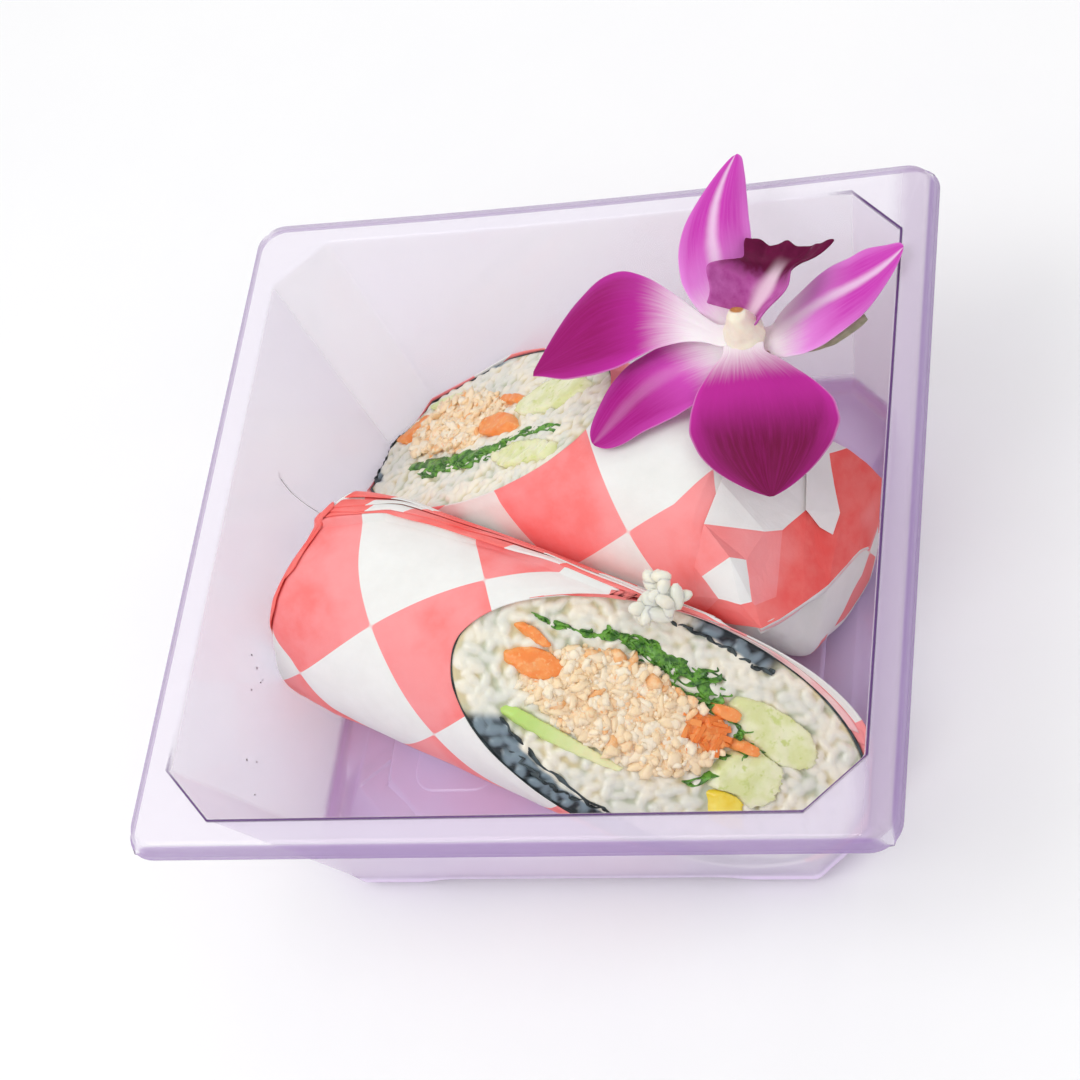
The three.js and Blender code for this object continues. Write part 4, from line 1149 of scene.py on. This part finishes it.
def avocadoMaterial(node, low, high):  # bright green under the skin, and paler towards the stone
    material, tree, shader = newMaterial(pieceName(node), 0.4, Specular_IOR_Level=0.45)
    coords = objectCoords(tree)
    reach = plus(tree, splitUp(tree, coords)[0], times(tree, noiseValue(tree, coords, 3), 6 * mm))
    paling = between(tree, reach, low * mm, high * mm)
    colour = mixColour(tree, paling, rgb(188, 221, 118), rgb(236, 236, 184))
    tree.links.new(colour, shader.inputs["Base Color"])
    addGlow(shader, 0.2, 1.5)
    addBump(tree, shader, noiseValue(tree, coords, 2, 4), 0.12)
    return material


def pieceName(node):
    words = node.split("_")
    return words[0] + "".join(word.capitalize() for word in words[1:])


fillingLooks = dict(
    carrot=foodMaterial("carrot", [rgb(250, 160, 88), rgb(246, 140, 62), rgb(252, 182, 120)], 3.5, 0.38, 0.9,
                        0.14, glow=0.25, glowColour=(1, 0.5, 0.2)),
    # painted sheen: the lighter green stands in for the leaf's glossy parts
    leaf=foodMaterial("leaf", [rgb(48, 100, 30), rgb(108, 168, 58), rgb(30, 72, 24)], 2.4, 0.28, 1.1, 0.25,
                      glow=0.1, glowColour=(0.3, 1, 0.2)),
    cucumber=foodMaterial("cucumber", [rgb(221, 226, 164), rgb(236, 238, 198), rgb(208, 218, 140)], 6, 0.22,
                          1.5, 0.12, glow=0.45, glowColour=(0.8, 1, 0.5)),
    pickle=foodMaterial("pickle", [rgb(244, 212, 52), rgb(248, 224, 96)], 4, 0.28, 1.5, 0.1, glow=0.2,
                        glowColour=(1, 0.8, 0.2)),
    crab=foodMaterial("crab", [rgb(252, 216, 170), rgb(253, 232, 204), rgb(247, 176, 110)], 2.4, 0.4, 0.8,
                      0.2, glow=0.25, glowColour=(1, 0.6, 0.35)),
    frontAvocado=avocadoMaterial("front_avocado", -6, 17),
    backAvocado=avocadoMaterial("back_avocado", -72, -50),
    crabShreds=pieceByPiece("crabShreds", [rgb(255, 240, 212), rgb(255, 227, 186), rgb(251, 184, 120)], 0.15),
    carrotShreds=pieceByPiece("carrotShreds", [rgb(250, 158, 84), rgb(244, 132, 56), rgb(252, 186, 130)]),
)
fillings = [  # node, look, voxel, smoothing passes, roughness depth and size
    ("front_carrot_bar", "carrot", 0.4, 0, 0.3, 2.6),
    ("front_carrot_strip", "carrot", 0.35, 0, 0.3, 2),
    ("front_carrot_dice_a", "carrot", 0.3, 0, 0.25, 2),
    ("front_carrot_dice_b", "carrot", 0.3, 0, 0.25, 2),
    ("front_carrot_shreds", "carrot", 0.5, 0, 0.7, 1.6),
    ("front_greens", "leaf", 0.5, 1, 0.9, 3.5),
    ("front_avocado", "frontAvocado", 0.5, 2, 0.4, 4),
    ("front_pickle", "pickle", 0.5, 1, 0.3, 3),
    ("front_cucumber_a", "cucumber", 0.6, 2, 0.45, 5),
    ("front_cucumber_b", "cucumber", 0.6, 2, 0.45, 5),
    ("front_crab", "crab", 0.7, 0, 0.8, 2.2),
    ("back_carrot_bar", "carrot", 0.4, 0, 0.3, 2.4),
    ("back_carrot_strip", "carrot", 0.4, 0, 0.3, 2),
    ("back_carrot_end", "carrot", 0.35, 0, 0.25, 2),
    ("back_greens", "leaf", 0.5, 1, 0.9, 3.5),
    ("back_avocado", "backAvocado", 0.5, 2, 0.4, 4),
    ("back_cucumber", "cucumber", 0.6, 2, 0.4, 4),
    ("back_lettuce", "cucumber", 0.6, 2, 0.7, 3),
    ("back_crab", "crab", 0.7, 0, 0.8, 2.2),
]
frameSlots = {part["node"]: part["material_slot"] for part in frame["record"]["subparts"]}


def makeFillings():
    for node, look, voxel, smoothing, depth, size in fillings:
        bm = evenMesh(node, voxel, smoothing)
        roughen(bm, depth, size, len(node))
        half = node.split("_")[0]
        # the leaf lies lower, so that rice and its single layers show over it
        lift = -0.9 if look == "leaf" else 0.35
        bmesh.ops.translate(bm, verts=bm.verts, vec=halfMatrix(half).to_3x3() @ cutNormal(half) * lift)
        toPiece(bm, pieceName(node), fillingLooks[look], frameSlots[node], [node])


makeFillings()
print("fillings are in")


def bendOver(verts, place, normal, bend):  # curves a lump in the plane of the cut
    for vert in verts:
        off = vert.co - place
        vert.co += normal.cross(off).normalized() * (off.length ** 2 / mm) * bend


shreds = dict(frontCount=620, backCount=400, spacing=1.0, size=(1.6, 0.95, 0.7))


def makeCrabShreds(half, count):
    spots, normal, draw = faceSpots(half, half + "_crab", count, shreds["spacing"], 40 + count, inset=2)

    def addShred(bm, spot, number):
        scale = draw.choice((0.55, 0.75, 1, 1.25, 1.6))
        size = [s * scale * draw.uniform(0.7, 1.35) for s in shreds["size"]]
        size[2] = min(size[2], 0.9)
        lift = draw.uniform(-0.3, 0.35) + 0.5 * ripple(spot / mm, 6, 4)
        verts = addLump(bm, spot + normal * lift * mm, normal, size, draw.uniform(0, pi), draw.gauss(0, 0.4),
                        0.6, number)
        bendOver(verts, spot, normal, draw.uniform(-0.16, 0.16))

    toPiece(pile(spots, addShred), half + "CrabShreds", fillingLooks["crabShreds"], "crab")


makeCrabShreds("front", shreds["frontCount"])
makeCrabShreds("back", shreds["backCount"])

carrotBits = dict(count=46, spacing=1.5, size=(2.4, 0.75, 0.5))


def makeCarrotBits():
    node, count, spacing = "front_carrot_shreds", carrotBits["count"], carrotBits["spacing"]
    spots, normal, draw = faceSpots("front", node, count, spacing, 6)
    basis = up.rotation_difference(normal).to_matrix().to_4x4()

    def addBit(bm, spot, number):
        size = [2 * s * mm * draw.uniform(0.7, 1.25) for s in carrotBits["size"]]
        spin = Matrix.Rotation(draw.uniform(0, pi), 4, "Z") @ Matrix.Rotation(draw.gauss(0, 0.35), 4, "Y")
        place = Matrix.Translation(spot + normal * draw.uniform(-0.1, 0.7) * mm)
        made = bmesh.ops.create_cube(bm, size=1, matrix=place @ basis @ spin @ Matrix.Diagonal((*size, 1)))
        for vert in made["verts"]:
            vert.co += Vector([draw.uniform(-0.22, 0.22) * mm for _ in range(3)])

    bits = pile(spots, addBit)
    piece = toPiece(bits, "frontCarrotBits", fillingLooks["carrotShreds"], "carrot", smooth=False)
    worn = piece.modifiers.new("worn", "BEVEL")
    worn.width, worn.segments = 0.18 * mm, 2


makeCarrotBits()

leaves = dict(  # each fold's path across the cut, its layers, and how far and how often it waves
    front=[
        ([(6.6, 25.2), (7, 23.5), (7.8, 21.8), (9.2, 19.6), (11, 18)], 2, 0.4, 2),
        ([(12.6, 17.4), (13.4, 15.2), (15, 13), (17.2, 10.8)], 3, 0.7, 2),
        ([(15.2, 12.4), (13.6, 9.6), (13.4, 7.2), (15.4, 3.8), (19.6, 1.4)], 4, 1.1, 2),
        ([(14.2, 10.4), (11, 6), (9.6, 2.2), (11.4, -0.8), (16.6, -0.8)], 3, 1.0, 2),
        ([(9.6, 0.4), (11.4, -2.8), (11.4, -5.8), (8.8, -8), (6.2, -9.2)], 2, 0.7, 3),
        ([(9.2, -11), (5.8, -10.8), (2.2, -10.4), (-2.6, -10.6), (-8.6, -10)], 2, 0.4, 2),
    ],
    back=[
        ([(18.4, -7), (15.6, -4.8), (14, -1.5), (13, 2.4), (12.4, 6.4), (9.8, 7.8)], 5, 1.0, 4),
        ([(9.8, 7.6), (6.8, 9.6), (4.6, 11.6), (3.2, 15), (1.8, 18.2), (0.8, 22)], 2, 0.7, 3),
        ([(-10.6, 13.4), (-14.6, 13.6), (-18, 13.3)], 3, 0.6, 3),
    ],
)


def makeLeaves(half):
    number = 0
    for path, layers, wave, waves in leaves[half]:
        for layer in range(layers):
            shift = (layer - (layers - 1) / 2) * 0.8
            cutSheet(f"{half}Leaf{number}", half, path, fillingLooks["leaf"], "leaf", shift, wave, waves, 1.3,
                     3.5, 0.5, 1.7 * number, 40)
            number += 1


makeLeaves("front")
makeLeaves("back")


def addGrain(bm, place, normal, draw, scale=1.0):
    size = (2.7 * scale * draw.uniform(0.8, 1.15), 1.45 * scale * draw.uniform(0.88, 1.15), 1.2 * scale)
    verts = addLump(bm, place, normal, size, draw.uniform(0, pi), draw.gauss(0, 0.28))
    bendOver(verts, place, normal, draw.uniform(-0.12, 0.12) * 0.4)


def makeStrayRice(material):
    low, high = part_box("stray_rice")
    draw = Random(4)
    normal = Vector((0.36, -0.47, 0.8)).normalized()
    surface = nodeTree("stray_rice")
    placed = []
    for _ in range(900):
        spot = Vector([draw.uniform(low[k], high[k]) for k in range(3)])
        near = surface.find_nearest(spot)
        if near[3] > 0.8 * mm or any((spot - other).length < 2.4 * mm for other in placed):
            continue
        placed.append(spot)
    bm = pile(placed, lambda part, spot, number: addGrain(part, spot, normal, draw, 1.35))
    toPiece(bm, "strayRice", material, "rice", ["stray_rice"])


makeStrayRice(riceMaterial("looseGrains", seaweed=False))
print("crumbs and grains are scattered")


flower = dict(centre=(51, 47.3, 74), thickness=0.55, start=6.6, heart=3.4)
petals = dict(
    orchidSepalTop=dict(node="orchid_sepal_top", azimuth=121, rise=20.4, length=41, width=18.2, bow=-1.7,
                        hook=-22, belly=0.57, square=0.62, base=3, low=-2.4, look="sepal"),
    orchidPetalLeft=dict(node="orchid_petal_left", azimuth=186, rise=1, length=58, width=29.4, bow=-11.6,
                         hook=3.2, belly=0.61, square=1.1, base=3, low=1.2, look="left"),
    orchidSepalLow=dict(node="orchid_sepal_low", azimuth=221.6, rise=-3, length=48.8, width=18.8, bow=-6.3,
                        hook=-5.7, belly=0.45, square=0.5, base=3.3, low=-2, look="low"),
    orchidPetalBottom=dict(node="orchid_petal_bottom", azimuth=273, rise=-4, length=49.3, width=34.2, bow=4.7,
                           hook=7.8, cup=-1.5, belly=0.54, square=0.8, base=5, low=1, look="bottom"),
    orchidSepalRight=dict(node="orchid_sepal_right", azimuth=-2.4, rise=7, length=41.2, width=20.6, bow=6.1,
                          hook=22, belly=0.51, square=0.55, base=3.4, low=-1.8, look="sepal"),
)
petalColours = dict(  # the middle, the edge, how strong a pale midline is, and where the white base ends
    sepal=(rgb(202, 58, 180), rgb(236, 150, 230), 0.7, 0.34),
    left=(rgb(150, 8, 102), rgb(206, 48, 178), 0.0, 0.4),
    low=(rgb(168, 20, 130), rgb(216, 82, 194), 0.12, 0.3),
    bottom=(rgb(112, 0, 62), rgb(196, 40, 160), 0.0, 0.2),
)


def petalMaterial(name, deep, bright, midline, whiteTo):
    material, tree, shader = newMaterial(name, 0.55, Specular_IOR_Level=0.18)
    along, across, _ = splitUp(tree, uvCoords(tree))
    coords = objectCoords(tree)
    stretched = addNode(tree, "ShaderNodeMapping", {0: uvCoords(tree), "Scale": (0.006, 0.03, 1)})
    veins = noiseValue(tree, stretched.outputs[0], 1.6, 3, 0.6)
    soft = noiseValue(tree, coords, 7, 3)
    offCentre = calc(tree, "ABSOLUTE", across)
    fade = plus(tree, along, times(tree, calc(tree, "SUBTRACT", veins, 0.5), 0.13))
    tint = between(tree, fade, whiteTo - 0.24, whiteTo + 0.08)
    rim = between(tree, offCentre, 0.55, 1.0)
    inward = between(tree, along, 0.25, 0.85, 1.0, 0.35)
    rosy = times(tree, between(tree, along, 0.7, 0.3), 0.8)
    colour = mixColour(tree, calc(tree, "MAXIMUM", times(tree, rim, inward), rosy), deep, bright)
    colour = mixColour(tree, between(tree, veins, 0.35, 0.75, 0.0, 0.16), colour, bright)
    if midline:
        streak = between(tree, plus(tree, offCentre, times(tree, soft, 0.12)), 0.34, 0.08)
        colour = mixColour(tree, times(tree, streak, midline), colour, rgb(246, 224, 244))
    edge = between(tree, offCentre, 0.955, 1.0)
    colour = mixColour(tree, times(tree, edge, 0.5), colour, rgb(240, 186, 232))
    base = mixColour(tree, tint, rgb(246, 238, 242), colour)
    tree.links.new(base, shader.inputs["Base Color"])
    addGlow(shader, 0.15, 1, (1, 0.3, 0.8))
    addBump(tree, shader, plus(tree, times(tree, veins, 0.6), soft), 0.22, 0.5)
    return material


def petalPlace(u, v, azimuth, rise, length, width, bow, hook, belly, square, base, low, arch=2, cup=-2):
    along = Vector((cos(radians(azimuth)), sin(radians(azimuth)), 0))
    side = Vector((-along.y, along.x, 0))
    u = flower["heart"] / length * (u - 1) + u  # runs on under the column
    t = max(0, u)
    spread = max(0, sin(pi * t ** (log(0.5) / log(belly)))) ** square
    reach = base * (1 - t) + 0.5 + width / 2 * spread
    reach *= 1 + 0.03 * ripple(Vector((9 * u, 2 * (v > 0), azimuth)), 1) * (t > 0)
    wave = 0.5 * spread * sin(5 * u + 4 * v) + 0.35 * spread * v * v * sin(17 * u + 2 * v)
    midrib = -0.55 * exp(-(v / 0.16) ** 2) * sin(pi * t)
    height = low + rise * u + arch * sin(pi * t) + cup * v * v * spread + wave + midrib
    start = flower["start"]
    return (Vector(flower["centre"]) + up * height + along * (start + (length - start) * u)
            + side * (reach * v + bow * sin(pi * t) + hook * u ** 3)) * mm


lipShape = dict(azimuth=62, under=0.15)


def lipPlace(u, v):
    def bump(middle, reach):
        return exp(-((u - middle) / reach) ** 2)

    turn = radians(lipShape["azimuth"])
    u = lipShape["under"] * (u - 1) + u  # starts under the column
    along = Vector((cos(turn), sin(turn), 0))
    side = Vector((-along.y, along.x, 0))
    flap = smoothStep(0.62, 1, u)
    across = 8 + 4 * bump(0.25, 0.18) + 3.4 * flap
    wall = 9 + 3 * bump(0.25, 0.2) - 7 * smoothStep(0.42, 0.85, u)
    onward = 7.6 + 19 * u - 6 * abs(v) ** 1.5 * (1 - u) - 4 * u * v
    onward += 0.5 * flap * sin(11 * v)
    ruffle = 1.1 * flap * sin(7 * v + 1) + 0.3 * flap * sin(19 * v)
    height = 3.6 + 3 * u + wall * abs(v) ** 1.8 + ruffle
    return (Vector(flower["centre"]) + up * height + along * onward + side * across * v) * mm


def lipMaterial():
    material, tree, shader = newMaterial("orchidLip", 0.6, Specular_IOR_Level=0.15)
    along, across, _ = splitUp(tree, uvCoords(tree))
    soft = noiseValue(tree, objectCoords(tree), 2.5, 4)
    dark = between(tree, plus(tree, along, times(tree, soft, 0.25)), 0.5, 0.76)
    wall = mixColour(tree, soft, rgb(158, 34, 130), rgb(216, 126, 200))
    flap = mixColour(tree, soft, rgb(72, 0, 38), rgb(118, 10, 70))
    colour = mixColour(tree, dark, wall, flap)
    throat = between(tree, calc(tree, "ABSOLUTE", across), 0.34, 0.06)
    pale = times(tree, throat, between(tree, along, 0.84, 0.5))
    colour = mixColour(tree, times(tree, pale, 0.85), colour, rgb(242, 216, 230))
    tree.links.new(colour, shader.inputs["Base Color"])
    addBump(tree, shader, soft, 0.3, 0.6)
    return material


def makeColumn():
    material, tree, shader = newMaterial("flowerColumn", 0.45, Specular_IOR_Level=0.4)
    coords = objectCoords(tree)
    tint = mixColour(tree, noiseValue(tree, coords, 2, 3), rgb(250, 244, 226), rgb(238, 228, 204))
    place = splitUp(tree, coords)
    # its tip carries a small brown anther, on the side of the lip
    centre = flower["centre"]
    offX = calc(tree, "SUBTRACT", place[0], (centre[0] - 0.2) * mm)
    offY = calc(tree, "SUBTRACT", place[1], (centre[1] + 2.0) * mm)
    apart = calc(tree, "SQRT", plus(tree, times(tree, offX, offX), times(tree, offY, offY)))
    top = between(tree, place[2], (centre[2] + 5) * mm, (centre[2] + 6.5) * mm)
    spot = times(tree, between(tree, apart, 2.2 * mm, 1.5 * mm), top)
    brown = mixColour(tree, noiseValue(tree, coords, 0.8, 2), rgb(150, 84, 40), rgb(208, 142, 66))
    tree.links.new(mixColour(tree, spot, tint, brown), shader.inputs["Base Color"])
    addGlow(shader, 0.2, 1)
    addBump(tree, shader, noiseValue(tree, coords, 1.2, 3), 0.15, 0.6)
    bm = evenMesh("orchid_column", 0.45, 4)
    roughen(bm, 0.5, 3.2, 2)
    toPiece(bm, "orchidColumn", material, "column", ["orchid_column"])


def makeStem():
    material = foodMaterial("flowerStem", [rgb(150, 150, 120), rgb(176, 172, 142)], 4, 0.55, 0.8, 0.12)
    bm = evenMesh("orchid_stem", 0.4, 4)
    roughen(bm, 0.2, 3, 5)
    toPiece(bm, "orchidStem", material, "stem", ["orchid_stem"])


def makeOrchid():
    finishes = {look: petalMaterial(look + "Petal", *colours) for look, colours in petalColours.items()}
    for name, spec in petals.items():
        shape = {key: value for key, value in spec.items() if key not in ("node", "look")}
        makeSheet(name, lambda u, v: petalPlace(u, v, **shape), finishes[spec["look"]], "petal",
                  [spec["node"]], 40, 22, flower["thickness"])
    makeSheet("orchidLip", lipPlace, lipMaterial(), "lip", ["orchid_lip"], 26, 34, flower["thickness"])
    makeColumn()
    makeStem()


makeOrchid()
print("orchid is in place")

# Small dark specks on the left wall, and a thin fibre that leans from it to the front half
specks = dict(places=[(-86.1, -31.3, 52.4), (-85.6, -33.5, 48.9), (-85.0, -35.4, 45.4), (-85.6, -40.5, 49.5),
                      (-84.8, -59.8, 45.8), (-84.0, -58.4, 41.5), (-83.6, -67.3, 39.7), (-84.6, -37, 47)],
              sizes=(0.3, 0.42, 0.26, 0.34, 0.38, 0.28, 0.3, 0.24),
              fibre=[(-87.4, 25.4, 55.6), (-86.6, 23.6, 55), (-83, 19.4, 55), (-79.3, 16.2, 55),
                     (-75.9, 13.7, 55), (-72.6, 11.6, 55)], fibreWidth=0.26)


def makeSpecks():
    spots = [Vector(place) * mm for place in specks["places"]]
    material = foodMaterial("specks", [rgb(120, 106, 112), rgb(92, 78, 84)], 1, 0.6, 0.5, 0.05)
    draw = Random(5)

    def addSpeck(bm, spot, number):
        size = specks["sizes"][number]
        addLump(bm, spot, Vector((1, 0, 0.19)), (size, size * 0.8, 0.14), draw.uniform(0, pi), 0, 0.5, number)

    toPiece(pile(spots, addSpeck), "traySpecks", material, "tinted_plastic")
    fibre = [Vector(place) for place in specks["fibre"]]

    def place(u, v):
        turn = (v + 1) * pi
        width = specks["fibreWidth"] * (1 - 0.6 * u)
        off = Vector((0.3 * width * cos(turn), width * sin(turn), width * cos(turn)))
        return (alongPath(fibre, u) + off) * mm

    material = foodMaterial("fibre", [rgb(172, 166, 172), rgb(196, 190, 196)], 2, 0.6, 0.5, 0.02)
    makeSheet("strayFibre", place, material, "tinted_plastic", (), 30, 8, 0.05, soft=False)


makeSpecks()
print("specks are in place")
